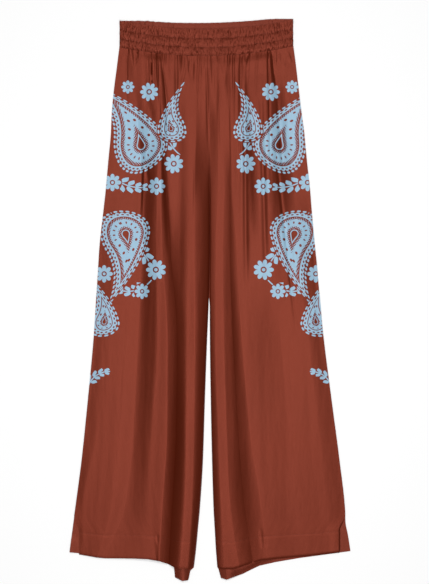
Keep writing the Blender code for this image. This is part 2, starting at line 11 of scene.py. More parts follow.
import bpy
import numpy as np
from bpy.props import FloatProperty, FloatVectorProperty, IntProperty, PointerProperty
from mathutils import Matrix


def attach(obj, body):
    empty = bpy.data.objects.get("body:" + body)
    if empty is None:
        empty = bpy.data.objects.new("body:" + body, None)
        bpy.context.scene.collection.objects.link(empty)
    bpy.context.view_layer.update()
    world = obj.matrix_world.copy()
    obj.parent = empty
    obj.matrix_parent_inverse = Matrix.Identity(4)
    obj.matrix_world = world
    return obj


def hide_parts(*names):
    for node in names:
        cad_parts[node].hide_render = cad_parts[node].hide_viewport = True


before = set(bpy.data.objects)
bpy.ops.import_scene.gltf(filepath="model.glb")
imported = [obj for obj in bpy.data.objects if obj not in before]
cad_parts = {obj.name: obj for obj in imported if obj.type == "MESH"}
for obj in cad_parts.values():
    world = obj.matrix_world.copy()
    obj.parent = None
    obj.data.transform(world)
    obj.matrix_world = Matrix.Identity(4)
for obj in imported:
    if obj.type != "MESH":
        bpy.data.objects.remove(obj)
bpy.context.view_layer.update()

bl_info = {
    "name": "Palazzo Pants",
    "version": (1, 0, 0),
    "blender": (4, 5, 0),
    "location": "View3D > Sidebar > Garment",
    "description": "Builds silk palazzo pants laid flat, with a ruched waistband and a printed spray",
    "category": "Object",
}

MM = 0.001


def table(row, *rows):
    """The rows of a table with named columns."""
    return tuple(row(*values) for values in rows)


# ---- sizes shared with the solids

HALF_WALL = 0.6
SEAM_GAP = 0.3
BACK_WALL = 1.2
HEM_DEPTH = 45.0
REST_LEVEL = BACK_WALL + SEAM_GAP + HALF_WALL
ROLL_FOOT_LEVEL = BACK_WALL + SEAM_GAP + 0.45
BACK_GAP_SHIFT = 1.6
BACK_SHIFT_FOOT, BACK_SHIFT_TOP = -14.0, 6.0
SEAM_LEVEL = 4.4
SEAM_PINCH = 18.0

BAND_DEPTH = 51.0
CHANNELS = 3
BACK_BAND_WALL = 2.6
CHANNEL_SEAM_LEVEL = 5.6
CHANNEL_PUFF = 1.3
FIRST_CHANNEL_PHASE = 0.25
BAND_NOTCH = 2.0
BAND_DIP = 18.4
BAND_SIDE_TOP = 542.0
TopPoint = namedtuple("TopPoint", "across height")
BACK_BAND_TOP = table(
    TopPoint,
    (-176, 540.8), (-130, 541.0), (-100, 539.0), (-60, 537.1), (-20, 536.8), (10, 537.3), (45, 538.8),
    (80, 541.0), (110, 543.8), (130, 544.8), (161, 544.6),
)

VENT_DEPTH = 50.0
VENT_EASE = 34.0

Section = namedtuple("Section", "height right_outseam left_outseam right_inner left_inner")
SECTIONS = table(
    Section,
    (495, -176.1, 162.0, -0.3, 0.0), (457, -180.8, 167.1, -0.3, 0.0), (410, -186.8, 172.6, -0.3, 0.0),
    (364, -191.1, 178.2, -0.3, 0.0), (317, -193.4, 184.3, -0.3, 0.0), (270, -197.9, 188.6, -0.3, 0.0),
    (214, -202.8, 194.8, -0.3, 0.0), (170, -207.7, 198.3, -0.3, 0.0), (98, -215.5, 204.8, -0.3, 0.0),
    (66, -217.5, 208.2, -0.7, -0.4), (40, -219.0, 210.3, -1.2, -0.8), (14, -220.8, 212.7, -1.6, -0.9),
    (-3, -221.9, 214.5, -2.3, -0.5), (-42, -224.2, 217.8, -3.9, -0.3), (-81, -227.0, 221.9, -5.6, -0.1),
    (-198, -238.0, 236.9, -9.9, 1.5), (-315, -250.2, 252.3, -13.7, 4.0), (-412, -263.0, 263.2, -19.9, 7.0),
    (-436, -266.2, 264.2, -22.2, 8.4), (-460, -269.4, 268.8, -24.4, 9.8),
    (-490, -273.2, 273.4, -27.3, 11.6), (-522, -277.0, 277.0, -31.2, 14.2),
    (-545, -279.0, 279.0, -34.4, 16.6),
)
WAIST_START, WAIST_END = SECTIONS[0].right_outseam, SECTIONS[0].left_outseam
WAIST_MIDDLE, WAIST_HALF = (WAIST_START + WAIST_END) / 2, (WAIST_END - WAIST_START) / 2
CROTCH_TOP, CROTCH_FOOT = 285.0, 165.0
CROTCH_EASE = 40.0

HemPoint = namedtuple("HemPoint", "across down")
FRONT_HEM = {
    "right": table(
        HemPoint,
        (-277, -498), (-253, -499), (-222, -504), (-205, -506), (-148, -506), (-121, -507), (-97, -511),
        (-82, -517), (-66, -524), (-39, -525), (-30, -521),
    ),
    "left": table(
        HemPoint,
        (13, -521), (21, -527), (44, -526.5), (56, -523), (81, -515.5), (100, -509.5), (130, -506.3),
        (175, -502.8), (214, -499.4), (252, -494.8), (277, -492),
    ),
}
BACK_HEM = {
    "right": table(
        HemPoint,
        (-277, -494), (-253, -497), (-205, -503), (-110, -505), (-76, -512), (-69.5, -524), (-67.5, -543),
        (-53, -549.5), (-42, -548.5), (-40, -545), (-37, -530), (-30, -524),
    ),
    "left": table(
        HemPoint,
        (15, -523), (17.5, -527), (22, -544), (33, -547), (51, -541), (66, -536), (82, -528), (98, -520.5),
        (129, -513.6), (175, -505.8), (277, -492),
    ),
}
VENT_EDGE = {"right": -255.0, "left": 253.4}

# The numbers in FOLDS, ROLLS, GATHERS and TROUGHS were made by a separate fitting program, and only a
# few were changed afterwards. They are not an example to follow.
STATIONS = (446, 348, 231, 95, -81, -256, -393, -510)
Fold = namedtuple("Fold", "name turn across level")
FOLDS = {
    "right": table(
        Fold,
        ("side bend", 0.4, (-166, -164, -168, -184, -203, -218, -245, -247),
         (2.5, 2.4, 2.4, 4.5, 4.2, 4.4, 3.6, 2.6)),
        ("outer swell", 0.6, (-148, -141, -133, -143, -162, -176, -190, -220),
         (4.3, 2.7, 3.2, 4.1, 4.4, 5.2, 5.6, 4.3)),
        ("shelf", 0.3, (-109, -116, -128, -132, -140, -149, -163, -206),
         (7.0, 7.1, 6.0, 3.7, 2.9, 2.9, 2.9, 3.2)),
        ("first ridge, outer side", 0.5, (-105, -97, -102, -104, -102, -113, -118, -104),
         (7.6, 8.5, 12.9, 10.9, 11.6, 9.5, 8.1, 8.5)),
        ("first ridge, inner side", 0.6, (-95, -93, -95, -93, -83, -84, -92, -100),
         (6.8, 7.5, 12.8, 11.6, 13.1, 11.6, 10.1, 9.7)),
        ("deep valley", 1.5, (-90, -84, -86, -77, -64, -66, -73, -81),
         (5.3, 3.7, 8.8, 6.6, 6.4, 4.0, 2.9, 2.9)),
        ("second ridge, outer side", 0.2, (-48, -45, -33, -41, -45, -46, -49, -59),
         (4.1, 7.2, 11.6, 14.0, 13.1, 13.9, 14.0, 12.4)),
        ("second ridge, inner side", 1.2, (-36, -27, -30, -31, -30, -32, -35, -44),
         (4.1, 6.9, 12.1, 14.4, 14.2, 13.0, 12.9, 11.1)),
    ),
    "left": table(
        Fold,
        ("side bend", 0.3, (139, 153, 163, 169, 192, 211, 225, 241),
         (2.4, 2.4, 2.4, 6.4, 4.8, 4.9, 4.7, 2.8)),
        ("outer swell", 0.4, (110, 106, 112, 118, 138, 153, 163, 182),
         (6.5, 11.6, 13.8, 9.7, 2.9, 5.4, 7.0, 4.5)),
        ("shelf", 0.45, (43, 41, 43, 52, 62, 78, 98, 113),
         (5.1, 6.9, 4.4, 6.3, 8.9, 10.0, 11.0, 8.0)),
        ("valley", 1.4, (35, 37, 39, 39, 45, 55, 66, 84),
         (4.5, 6.1, 3.6, 3.1, 3.2, 3.8, 2.9, 2.9)),
        ("ridge, outer side", 0.6, (30, 19, 28, 25, 27, 32, 38, 57),
         (5.4, 6.5, 5.7, 5.9, 7.4, 9.4, 10.1, 8.9)),
        ("ridge, inner side", 0.8, (26, 16, 16, 12, 11, 16, 21, 29),
         (5.2, 7.0, 5.5, 5.4, 6.2, 8.2, 9.0, 6.6)),
    ),
}
Roll = namedtuple("Roll", "ease fall fall_share drop drop_share")
ROLLS = {"right": Roll(1.39, 3.5, 0.12, 26.0, 0.2), "left": Roll(1.32, 4.3, 0.05, 30.0, 0.3)}
INNER_EDGE_LEVEL = (5.2, 3.9, 2.8, REST_LEVEL, REST_LEVEL, REST_LEVEL, REST_LEVEL, REST_LEVEL)

GATHER_HEAD, GATHER_FOOT = 1.25, 0.6  # a gather's width at the seam and at its foot, against its own
Gather = namedtuple("Gather", "across drift length depth width")
GATHERS = {
    "right": table(
        Gather,
        (-161, 0, 127, 1.2, 0.8), (-151, 2, 38, 0.8, 1.1), (-146, 1, 35, 1.1, 3.8),
        (-126, 4, 326, 0.6, 5.1), (-115, 3, 105, 1.7, 0.7), (-103, 3, 132, 1.4, 2.0),
        (-97, 21, 160, 0.7, 2.5), (-77, 2, 69, 0.7, 5.0), (-66, 2, 232, 1.2, 3.2), (-57, 1, 52, 1.2, 1.7),
        (-44, -23, 126, 0.7, 2.9), (-40, 6, 69, 1.2, 5.3), (-26, 5, 165, 0.8, 1.1),
        (-10, -11, 246, 0.3, 5.2), (-87, 1, 38, 0.6, 1.1), (-42, 1, 44, 1.1, 1.0), (-32, -2, 77, 0.7, 1.6),
        (-19, 3, 94, 0.9, 1.3), (-6, -1, 67, 0.6, 1.0), (-141, -1, 18, 1.0, 1.3), (-120, 1, 98, 0.7, 1.0),
    ),
    "left": table(
        Gather,
        (142, 3, 36, 0.9, 2.2), (132, 0, 133, 0.9, 4.6), (121, 10, 111, 2.5, 4.2), (113, 6, 322, 1.1, 1.9),
        (92, -5, 110, 0.5, 2.3), (70, 0, 28, 2.1, 3.0), (60, -3, 324, 1.7, 3.2), (46, -1, 190, 1.0, 2.1),
        (37, 1, 24, 1.2, 2.4), (22, 4, 45, 0.8, 4.6), (11, 3, 185, 1.0, 4.5), (3, 3, 92, 1.4, 1.2),
        (16, 1, 33, 0.8, 1.3), (28, 18, 161, 0.6, 5.0), (34, 3, 37, 0.5, 1.6), (53, -4, 62, 0.5, 1.8),
        (104, 0, 61, 0.3, 1.4), (76, -3, 84, 0.6, 1.0),
    ),
}

Trough = namedtuple("Trough", "top_across top foot_across foot depth width")
TROUGHS = {
    "right": table(
        Trough,
        (-59, 424, -61, 21, 1.5, 11.8), (-120, 397, -114, 341, 1.3, 6.2), (-97, 393, -80, 88, 1.4, 3.9),
        (-132, 287, -115, 211, 1.2, 3.6), (-6, 470, -2, 290, 1.4, 2.6),
    ),
    "left": table(
        Trough,
        (66, 486, 71, 21, 2.4, 4.7), (99, 405, 109, 35, 2.0, 4.9), (123, 327, 168, -64, 1.1, 2.9),
        (69, 411, 81, 119, 1.7, 7.6), (131, 391, 142, 240, 1.1, 3.5),
    ),
}
SEAM_ROW, HEM_ROW = 492.0, -508.0
LEG_LENGTH = SEAM_ROW - HEM_ROW
VENT_TOP = HEM_ROW + VENT_DEPTH
SEAM_CURVE_FOOT = 340.0
HEM_CURVE_TOP = -400.0
HEM_RISE, HEM_GROOVE = 0.22, 0.14  # the doubled cloth of the hem, and its line of stitching
HEM_ROLL = {"right": 0.5, "left": 1.3}  # how far a hem's turned edge rounds down
HEM_ROLL_LENGTH = 5.0
HEM_STEP = 1.0, -1.5  # where the doubled cloth starts and is full, against the stitching
GROOVE_WIDTH = 1.6
FLAT_EDGE = 6.0
LEAST_STAND = 0.2  # how far the lowest cloth stands above its rest level
EDGE_TURN = 0.8  # how round the cloth leaves its two edges
GATHER_HOLD = 0.25  # share of a gather's length before it fades
TROUGH_FADE = 0.6

# ---- sizes of the fine forms

SIDES = ("right", "left")
INWARD = {"right": -1, "left": 1}  # the way from the inner edge into a leg
COLUMN_STEP = 1.65
WAIST_ROWS_FOOT, HEM_ROWS_TOP = 380.0, -440.0
WAIST_ROW_STEP, FRONT_ROW_STEP, BACK_ROW_STEP = 2.4, 7.0, 8.0
FRONT_HEM_ROWS, BACK_HEM_ROWS, BACK_COLUMNS = 35, 24, 72
SHARP_ANGLE = math.radians(55)
POINTS_PER_SPAN = 24  # points worked out between two fold lines before they are spaced evenly

Scatter = namedtuple("Scatter", "count length depth width")
FINE_GATHERS = Scatter(20, (12, 46), (0.15, 0.55), (1.3, 2.2))  # between the large gathers
FINE_DRIFT = -2, 4
DRAPE_LINES = Scatter(14, (220, 700), (0.10, 0.28), (4.0, 9.0))  # long faint waves down a leg
DRAPE_START, DRAPE_TAPER = 60, 0.72  # how near the seam a wave starts, and how much closer together
WANDER_SHARE = 0.42  # how far a scattered place leaves its even one, in steps
PULLS = {  # little pulls at the hem's stitching, and ridges, with a depth below 0, beside the waist seam
    "right": table(
        Trough,
        (-102.5, -456, -101.5, -475, 0.5, 2.4), (-218, -462, -184, -466, 0.25, 5.0),
    ),
    "left": table(
        Trough,
        (98.5, -446, 102.5, -486, 0.7, 3.0), (107.5, -458, 108.0, -484, 0.5, 2.4),
        (125, 492, 127, 456, -0.55, 2.4), (134, 494, 136, 462, -0.65, 2.6), (142, 492, 145, 452, -0.5, 2.0),
        (149, 491, 158, 460, -0.6, 2.4),
    ),
}
VENT_LIFT = {"right": 0.0, "left": 1.1}  # how far the cloth stands beside a vent's pressed edge
VENT_ROLL, VENT_SLOPE = 2.6, 24.0  # how near the edge it falls again, and how far in it starts to rise
BACK_CORNER = 272.0
CORNER_CURL = {"right": 1.9, "left": 0.0}  # how far the back's hem corner lifts beyond the vent
CURL_LENGTH = 20

RUCHES = Scatter(92, (5, 12), (0.24, 0.74), (0.9, 1.6))  # at each line of the band's stitching
FINE_RUCHES = Scatter(96, (4, 9), (0.25, 0.62), (0.8, 1.4))  # along the middle of each channel
RUCHE_LEAN = 0.4
RUCHE_UP, RUCHE_DOWN = (0.8, 1.2), (0.2, 0.7)  # how much of its length lies above and below a line
TOP_LINE, TOP_RUCHES = 4.0, 0.6  # the ruches under the band's top edge, and how deep against the others
BAND_COLUMNS, BAND_ROWS = 520, 56
BACK_BAND_COLUMNS, BACK_BAND_ROWS = 240, 26
NOTCH_TOP, NOTCH_FOOT, NOTCH_POWER = 6.0, 42.0, 9
STITCH_WANDER, WANDER_WAVES = 1.1, (3.7, 16.0, 6.1)
WANDER_DRAG = 0.6  # share of the stitching's wander that the channels follow
FULL_WAVES = 3.1, 13.0, 7.3
BAND_SEED, BACK_BAND_SEED = 11, 23
BAND_RIM, RIM_FALL = 1.6, 0.6
LEAST_BAND = 0.4  # thickness of the front band at its thinnest
SLACK, FULLNESS = 0.62, 0.25  # how full the channels stand, and how much that changes along the band
SEAM_DRAW, SEAM_DRAW_WIDTH = 0.5, 2.4
Pull = namedtuple("Pull", "across drift length depth")
# Where the ruches meet the waist seam. Their places across were found by a separate program.
SEAM_PULLS = table(
    Pull,
    (-161, 0, 11, 0.5), (-152, 0, 8, 0.3), (-142, 1, 12, 0.7), (-135, 1, 9, 0.45), (-127, 0, 8, 0.3),
    (-118, 1, 13, 0.6), (-110, 0, 8, 0.3), (-104, 1, 12, 0.6), (-96, 1, 12, 0.8), (-86, 0, 10, 0.4),
    (-78, 0, 9, 0.35), (-71, 0, 9, 0.3), (-65, 1, 12, 0.45), (-56, 0, 13, 0.6), (-50, 0, 10, 0.3),
    (-36, 0, 12, 0.35), (-29, 0, 12, 0.35), (-21, 1, 12, 0.35), (-14, 0, 8, 0.3), (-6, 0, 9, 0.45),
    (7, -1, 13, 0.35), (15, 0, 11, 0.35), (21, 0, 8, 0.25), (27, 0, 11, 0.35), (36, 0, 10, 0.45),
    (42, -1, 8, 0.35), (48, -2, 14, 1.15), (56, -1, 8, 0.3), (64, -3, 12, 0.8), (75, -3, 14, 1.35),
    (85, -1, 9, 0.3), (92, 0, 8, 0.3), (99, -2, 11, 0.55), (108, 0, 10, 0.45), (114, -1, 11, 1.25),
    (126, 0, 9, 0.35), (136, 0, 9, 0.4), (144, 0, 13, 0.6), (152, 0, 9, 0.4), (159, 0, 10, 0.5),
)
PULL_WIDTH = 1.9
PULL_HEAD, PULL_FOOT, PULL_TAPER = 1.15, 0.6, 30.0  # its width at both ends, and how far it narrows
SEAM_PULL_RISE = 3.2  # how far each reaches up into the band
TOP_RIPPLE, RIPPLE_REACH = 0.3, 6.0
RIPPLE_PEAK, RIPPLE_SPREAD = -122.0, 32.0
BACK_BAND_LINES, UNDER_LINES = (9.0, 26.0, 43.0), (17.0, 34.0)
BACK_GROOVE, BACK_GROOVE_WIDTH = 0.3, 1.2
BACK_RUCHES = Scatter(34, (10, 24), (0.15, 0.45), (1.6, 3.2))

HemHump = namedtuple("HemHump", "across width rise")
BACK_TILT = {"right": HemHump(-120, 40, 0.8), "left": HemHump(84, 42, 2.4)}  # beside the back hem's edge
TILT_FULL, TILT_FALL, TILT_TOP = 13.0, 30.0, 70.0  # distances from the hem's edge
HEM_HUMPS = {"right": HemHump(-53, 13, 4.5), "left": HemHump(36, 17, 4.5)}
HUMP_TOP, HUMP_FULL = -430.0, -530.0
BACK_FLAT_EDGE = 12.0

BACK_CREASES = table(
    Trough,
    (150, 430, 190, -250, 0.5, 14), (105, 380, 130, -420, 0.6, 18), (60, 300, 84, -360, 0.5, 12),
    (30, 150, 52, -480, 0.4, 10),
)


def length_property(name, description, default, least, most):
    return FloatProperty(name=name, description=description, default=default, min=least, max=most,
                         precision=5, unit="LENGTH")


class ClothSizes(bpy.types.PropertyGroup):
    """Sizes and colours of the cloth."""

    thickness: length_property("Cloth Thickness", "Thickness of one layer of twill", 0.0005, 0.0001, 0.002)
    ground: FloatVectorProperty(
        name="Ground", description="Colour of the dyed silk", default=(0.122, 0.0146, 0.0035),
        size=3, min=0.0, max=1.0, subtype="COLOR")
    print_ink: FloatVectorProperty(
        name="Print", description="Colour of the printed spray", default=(0.265, 0.43, 0.56),
        size=3, min=0.0, max=1.0, subtype="COLOR")
    twill_pitch: length_property(
        "Twill Pitch", "Distance between the diagonal lines of the weave", 0.0008, 0.0002, 0.003)


class StitchSizes(bpy.types.PropertyGroup):
    """Sizes of the machine stitching."""

    spacing: length_property("Spacing", "Distance from one stitch to the next", 0.0030, 0.001, 0.01)
    length: length_property(
        "Length", "Length of the thread that shows in one stitch", 0.0023, 0.0005, 0.01)
    thread: length_property("Thread", "Thickness of the thread", 0.00035, 0.0001, 0.001)


class StageSizes(bpy.types.PropertyGroup):
    """Light and floor of the stage."""

    key_power: FloatProperty(
        name="Softbox Power", description="Power of the overhead softbox", default=100.0, min=0.0,
        unit="POWER")
    fill: FloatProperty(
        name="Fill", description="Strength of the even light from all round", default=0.18, min=0.0,
        subtype="FACTOR")
    seed: IntProperty(name="Seed", description="Seed of the small folds", default=7, min=0)


# ---- curves


def smooth_step(low, high, value):
    """0 below low, 1 above high, eased between; low may be the larger."""
    t = np.clip((value - low) / (high - low), 0.0, 1.0)
    return t * t * (3 - 2 * t)


def mix(a, b, t):
    return a + (b - a) * t


def bump(distance, width):
    return np.exp(-((distance / width) ** 2))


def hermite(start, end, slope_start, slope_end, t):
    t2, t3 = t * t, t * t * t
    return (
        (2 * t3 - 3 * t2 + 1) * start
        + (t3 - 2 * t2 + t) * slope_start
        + (3 * t2 - 2 * t3) * end
        + (t3 - t2) * slope_end
    )


def curve_through(places, values, at):
    """Values on a smooth curve through (place, value) pairs, which never overshoots."""
    order = np.argsort(places)
    x = np.asarray(places, float)[order]
    y = np.asarray(values, float)[order]
    rises = np.diff(y) / np.diff(x)
    slopes = np.concatenate([rises[:1], np.zeros(len(x) - 2), rises[-1:]])
    same_way = rises[:-1] * rises[1:] > 0
    both = rises[:-1] + rises[1:]
    slopes[1:-1][same_way] = 2 * (rises[:-1] * rises[1:])[same_way] / both[same_way]
    i = np.clip(np.searchsorted(x, at) - 1, 0, len(x) - 2)
    span = x[i + 1] - x[i]
    t = np.clip((at - x[i]) / span, 0.0, 1.0)
    return hermite(y[i], y[i + 1], slopes[i] * span, slopes[i + 1] * span, t)


def section_value(column, height):
    return curve_through([s.height for s in SECTIONS], [getattr(s, column) for s in SECTIONS], height)


def band_top(across):
    """Height of the front band's upper edge: it sags between the sides."""
    share = np.minimum(1.0, np.abs((across - WAIST_MIDDLE) / WAIST_HALF))
    return BAND_SIDE_TOP - BAND_DIP * (1 - share * share) + across / WAIST_HALF


def waist_seam(across):
    return band_top(across) - BAND_DEPTH


def hem_edge(points, across):
    return np.interp(across, [p.across for p in points], [p.down for p in points])


def vent_share(height):
    """0 above the vents' easing, 1 beside the vents."""
    return smooth_step(VENT_TOP + VENT_EASE, VENT_TOP, height)


def front_outseam(side, height):
    return mix(section_value(side + "_outseam", height), VENT_EDGE[side], vent_share(height))


def roll_share(height):
    """0 where the two fronts are joined by the centre seam, 1 where each inner leg rolls down."""
    return smooth_step(CROTCH_TOP, CROTCH_FOOT, height)


def hem_share(height):
    return smooth_step(HEM_CURVE_TOP, HEM_ROW, height)


def row_height(nominal, across, hem):
    """Rows near the waist follow its seam, and rows near the hem follow the hem edge."""
    to_seam = smooth_step(SEAM_CURVE_FOOT, SEAM_ROW, nominal)
    seam_shift = waist_seam(across) - SEAM_GAP / 2 - SEAM_ROW
    return nominal + to_seam * seam_shift + hem_share(nominal) * (hem_edge(hem, across) - HEM_ROW)


def scattered(scatter, low, high, random):
    """Even places with a wander, each with its own length, depth and width."""
    step = (high - low) / scatter.count
    wander = random.uniform(-WANDER_SHARE, WANDER_SHARE, scatter.count)
    places = low + step * (np.arange(scatter.count) + 0.5 + wander)
    sizes = [random.uniform(*limits, scatter.count) for limits in scatter[1:]]
    return zip(places, *sizes)


# ---- front legs


def fold_lines(side, heights):
    """Places, levels and turns of the fold lines, from the outseam to the inner edge, row by row."""
    folds = FOLDS[side]
    hem = FRONT_HEM[side][-1 if side == "right" else 0]
    inner = section_value(side + "_inner", heights + hem_share(heights) * (hem.down - HEM_ROW))
    inner = inner + INWARD[side] * HALF_WALL * smooth_step(CROTCH_TOP, CROTCH_TOP - CROTCH_EASE, heights)
    edge_level = curve_through(STATIONS, INNER_EDGE_LEVEL, heights)
    inner_level = mix(edge_level, ROLL_FOOT_LEVEL, roll_share(heights))
    places = [front_outseam(side, heights)]
    places += [curve_through(STATIONS, f.across, heights) for f in folds]
    levels = [np.full_like(heights, REST_LEVEL)]
    levels += [curve_through(STATIONS, f.level, heights) for f in folds]
    turns = [EDGE_TURN] + [f.turn for f in folds] + [EDGE_TURN]
    return places + [inner], levels + [inner_level], turns


def span_points(side, heights):
    """For each span between fold lines, every row's section as close points: places and levels."""
    places, levels, turns = fold_lines(side, heights)
    roll = roll_share(heights)[:, None]
    shape = ROLLS[side]
    share = np.linspace(0.0, 1.0, POINTS_PER_SPAN + 1)[None, :]
    spans = len(places) - 1
    for k in range(spans):
        x0, x1 = places[k][:, None], places[k + 1][:, None]
        z0, z1 = levels[k][:, None], levels[k + 1][:, None]
        x = mix(x0, x1, share)
        z = hermite(z0, z1, (z1 - z0) * turns[k], (z1 - z0) * turns[k + 1], share)
        if k == spans - 1:
            eased = 1 - shape.fall_share - shape.drop_share
            fallen = eased * share**shape.ease + shape.fall_share * share**shape.fall
            fallen = fallen + shape.drop_share * share**shape.drop
            z = mix(z, mix(z0, z1, fallen), roll)
        yield x, z


def spaced_evenly(x, z):
    """A span's points spaced evenly along the cloth in every row, with their distance from the first."""
    step = np.hypot(np.diff(x, axis=1), np.diff(z, axis=1))
    along = np.hstack([np.zeros((len(x), 1)), np.cumsum(step, axis=1)])
    columns = int(np.ceil(along[:, -1].max() / COLUMN_STEP)) + 1
    wanted = along[:, -1:] * np.linspace(0.0, 1.0, columns)
    even_x = np.array([np.interp(w, a, row) for w, a, row in zip(wanted, along, x)])
    even_z = np.array([np.interp(w, a, row) for w, a, row in zip(wanted, along, z)])
    return even_x, even_z, wanted


def draped_rows(side, heights):
    """Places, levels and distance along the cloth of every point, and the columns at a valley's foot."""
    xs, zs, alongs, columns = [], [], [], [-1]
    start = np.zeros((len(heights), 1))
    for x, z in span_points(side, heights):
        x, z, along = spaced_evenly(x, z)
        first = 1 if xs else 0
        xs.append(x[:, first:])
        zs.append(z[:, first:])
        alongs.append(start + along[:, first:])
        start = start + along[:, -1:]
        columns.append(columns[-1] + xs[-1].shape[1])
    valleys = [columns[i] for i, fold in enumerate(FOLDS[side], 1) if "valley" in fold.name]
    return np.hstack(xs), np.hstack(zs), np.hstack(alongs), valleys


def gather_low(x, height, gather):
    """A gather is widest at the seam and narrows to its foot."""
    share = np.clip((SEAM_ROW - height) / gather.length, 0.0, 1.0)
    place = gather.across + gather.drift * share
    fade = 1 - smooth_step(SEAM_ROW - GATHER_HOLD * gather.length, SEAM_ROW - gather.length, height)
    return gather.depth * fade * bump(x - place, gather.width * mix(GATHER_HEAD, GATHER_FOOT, share))


def trough_low(x, height, trough):
    share = np.clip((trough.top - height) / (trough.top - trough.foot), 0.0, 1.0)
    fade = np.sin(math.pi * share) ** TROUGH_FADE
    place = mix(trough.top_across, trough.foot_across, share)
    return trough.depth * fade * bump(x - place, trough.width)


def fine_lows(side, x, height, random):
    """The small gathers and the long faint waves, which differ from leg to leg."""
    low = np.zeros_like(x)
    edges = sorted((section_value(side + "_outseam", SEAM_ROW), 0.0))
    for place, length, depth, width in scattered(FINE_GATHERS, *edges, random):
        low += gather_low(x, height, Gather(place, random.uniform(*FINE_DRIFT), length, depth, width))
    foot = sorted(section_value(side + end, HEM_ROW) for end in ("_outseam", "_inner"))
    for place, length, depth, width in scattered(DRAPE_LINES, *foot, random):
        top = random.uniform(HEM_ROW + length, SEAM_ROW - DRAPE_START)
        drops = SEAM_ROW - top, SEAM_ROW - top + length
        start, end = (place * mix(DRAPE_TAPER, 1.0, drop / LEG_LENGTH) for drop in drops)
        low += trough_low(x, height, Trough(start, top, end, top - length, depth, width))
    return low


def seam_pull_lows(x, below):
    """The pulls from the waist seam into a leg, which narrow on their way down."""
    width = PULL_WIDTH * mix(PULL_HEAD, PULL_FOOT, np.clip(below / PULL_TAPER, 0.0, 1.0))
    return sum(p.depth * bump(x - p.across - p.drift * below / p.length, width) * bump(below, p.length)
               for p in SEAM_PULLS)


def front_rows():
    """Nominal heights of a front panel's rows, closer at the waist and at the hem."""
    return np.concatenate([
        np.arange(SEAM_ROW, WAIST_ROWS_FOOT, -WAIST_ROW_STEP),
        np.arange(WAIST_ROWS_FOOT, HEM_ROWS_TOP, -FRONT_ROW_STEP),
        np.linspace(HEM_ROWS_TOP, HEM_ROW, FRONT_HEM_ROWS),
    ])


@lru_cache(maxsize=None)
def front_sheet(side, thickness, seed):
    """Outer and inner points of a front panel in millimetres, its cloth coordinates and its rows."""
    heights = front_rows()
    x, z, along, valleys = draped_rows(side, heights)
    nominal = np.broadcast_to(heights[:, None], x.shape)
    random = np.random.default_rng(seed + SIDES.index(side))
    low = sum(gather_low(x, nominal, g) for g in GATHERS[side])
    low = low + sum(trough_low(x, nominal, t) for t in TROUGHS[side] + PULLS[side])
    low = low + fine_lows(side, x, nominal, random)
    low = low + seam_pull_lows(x, SEAM_ROW - nominal)
    risen = smooth_step(SEAM_ROW, SEAM_ROW - SEAM_PINCH, nominal)
    inset = np.minimum(np.abs(x - x[:, :1]), np.abs(x - x[:, -1:]))
    low = low * np.minimum(1.0, inset / FLAT_EDGE)
    sewn = mix(np.minimum(z, SEAM_LEVEL), z, risen)
    level = np.maximum(sewn - low, np.minimum(sewn, REST_LEVEL + LEAST_STAND))
    stitching = HEM_ROW + HEM_DEPTH
    step = HEM_RISE * smooth_step(stitching + HEM_STEP[0], stitching + HEM_STEP[1], nominal)
    level = level + step - HEM_GROOVE * bump(nominal - stitching, GROOVE_WIDTH)
    rolled = np.clip((HEM_ROW + HEM_ROLL_LENGTH - nominal) / HEM_ROLL_LENGTH, 0, 1)
    level = level - HEM_ROLL[side] * rolled**2
    out = np.abs(x - x[:, :1])
    beside = smooth_step(0.0, VENT_ROLL, out) * smooth_step(VENT_SLOPE, VENT_ROLL, out)
    level = level + VENT_LIFT[side] * beside * vent_share(nominal)
    y = row_height(nominal, x, FRONT_HEM[side])
    middle = np.dstack([x, y, level])
    normal = np.cross(np.gradient(middle, axis=1), np.gradient(middle, axis=0))
    normal *= (1 if side == "left" else -1) / np.linalg.norm(normal, axis=2, keepdims=True)
    outer = middle + normal * HALF_WALL
    inner = middle + normal * (HALF_WALL - thickness)
    cloth = np.dstack([np.abs(section_value(side + "_outseam", nominal)) - along, y])
    return outer, inner, cloth, heights, valleys


def grid_quads(index):
    return np.stack([index[:-1, :-1], index[1:, :-1], index[1:, 1:], index[:-1, 1:]], axis=-1).reshape(-1, 4)


def placed(name, data):
    """A new object in the scene."""
    thing = bpy.data.objects.new(name, data)
    bpy.context.scene.collection.objects.link(thing)
    return thing


def crease(mesh, rows, columns, creased):
    """The face of the cloth is folded sharply along some of its columns of points."""
    ends = np.empty(len(mesh.edges) * 2, dtype=np.int32)
    mesh.edges.foreach_get("vertices", ends)
    ends = ends.reshape(-1, 2)
    column = ends % columns
    along = np.isin(column[:, 0], creased) & (column[:, 0] == column[:, 1])
    folded = along & (ends < rows * columns).all(axis=1)
    layer = mesh.attributes.get("sharp_edge") or mesh.attributes.new("sharp_edge", "BOOLEAN", "EDGE")
    sharp = np.zeros(len(mesh.edges), dtype=bool)
    layer.data.foreach_get("value", sharp)
    layer.data.foreach_set("value", sharp | folded)


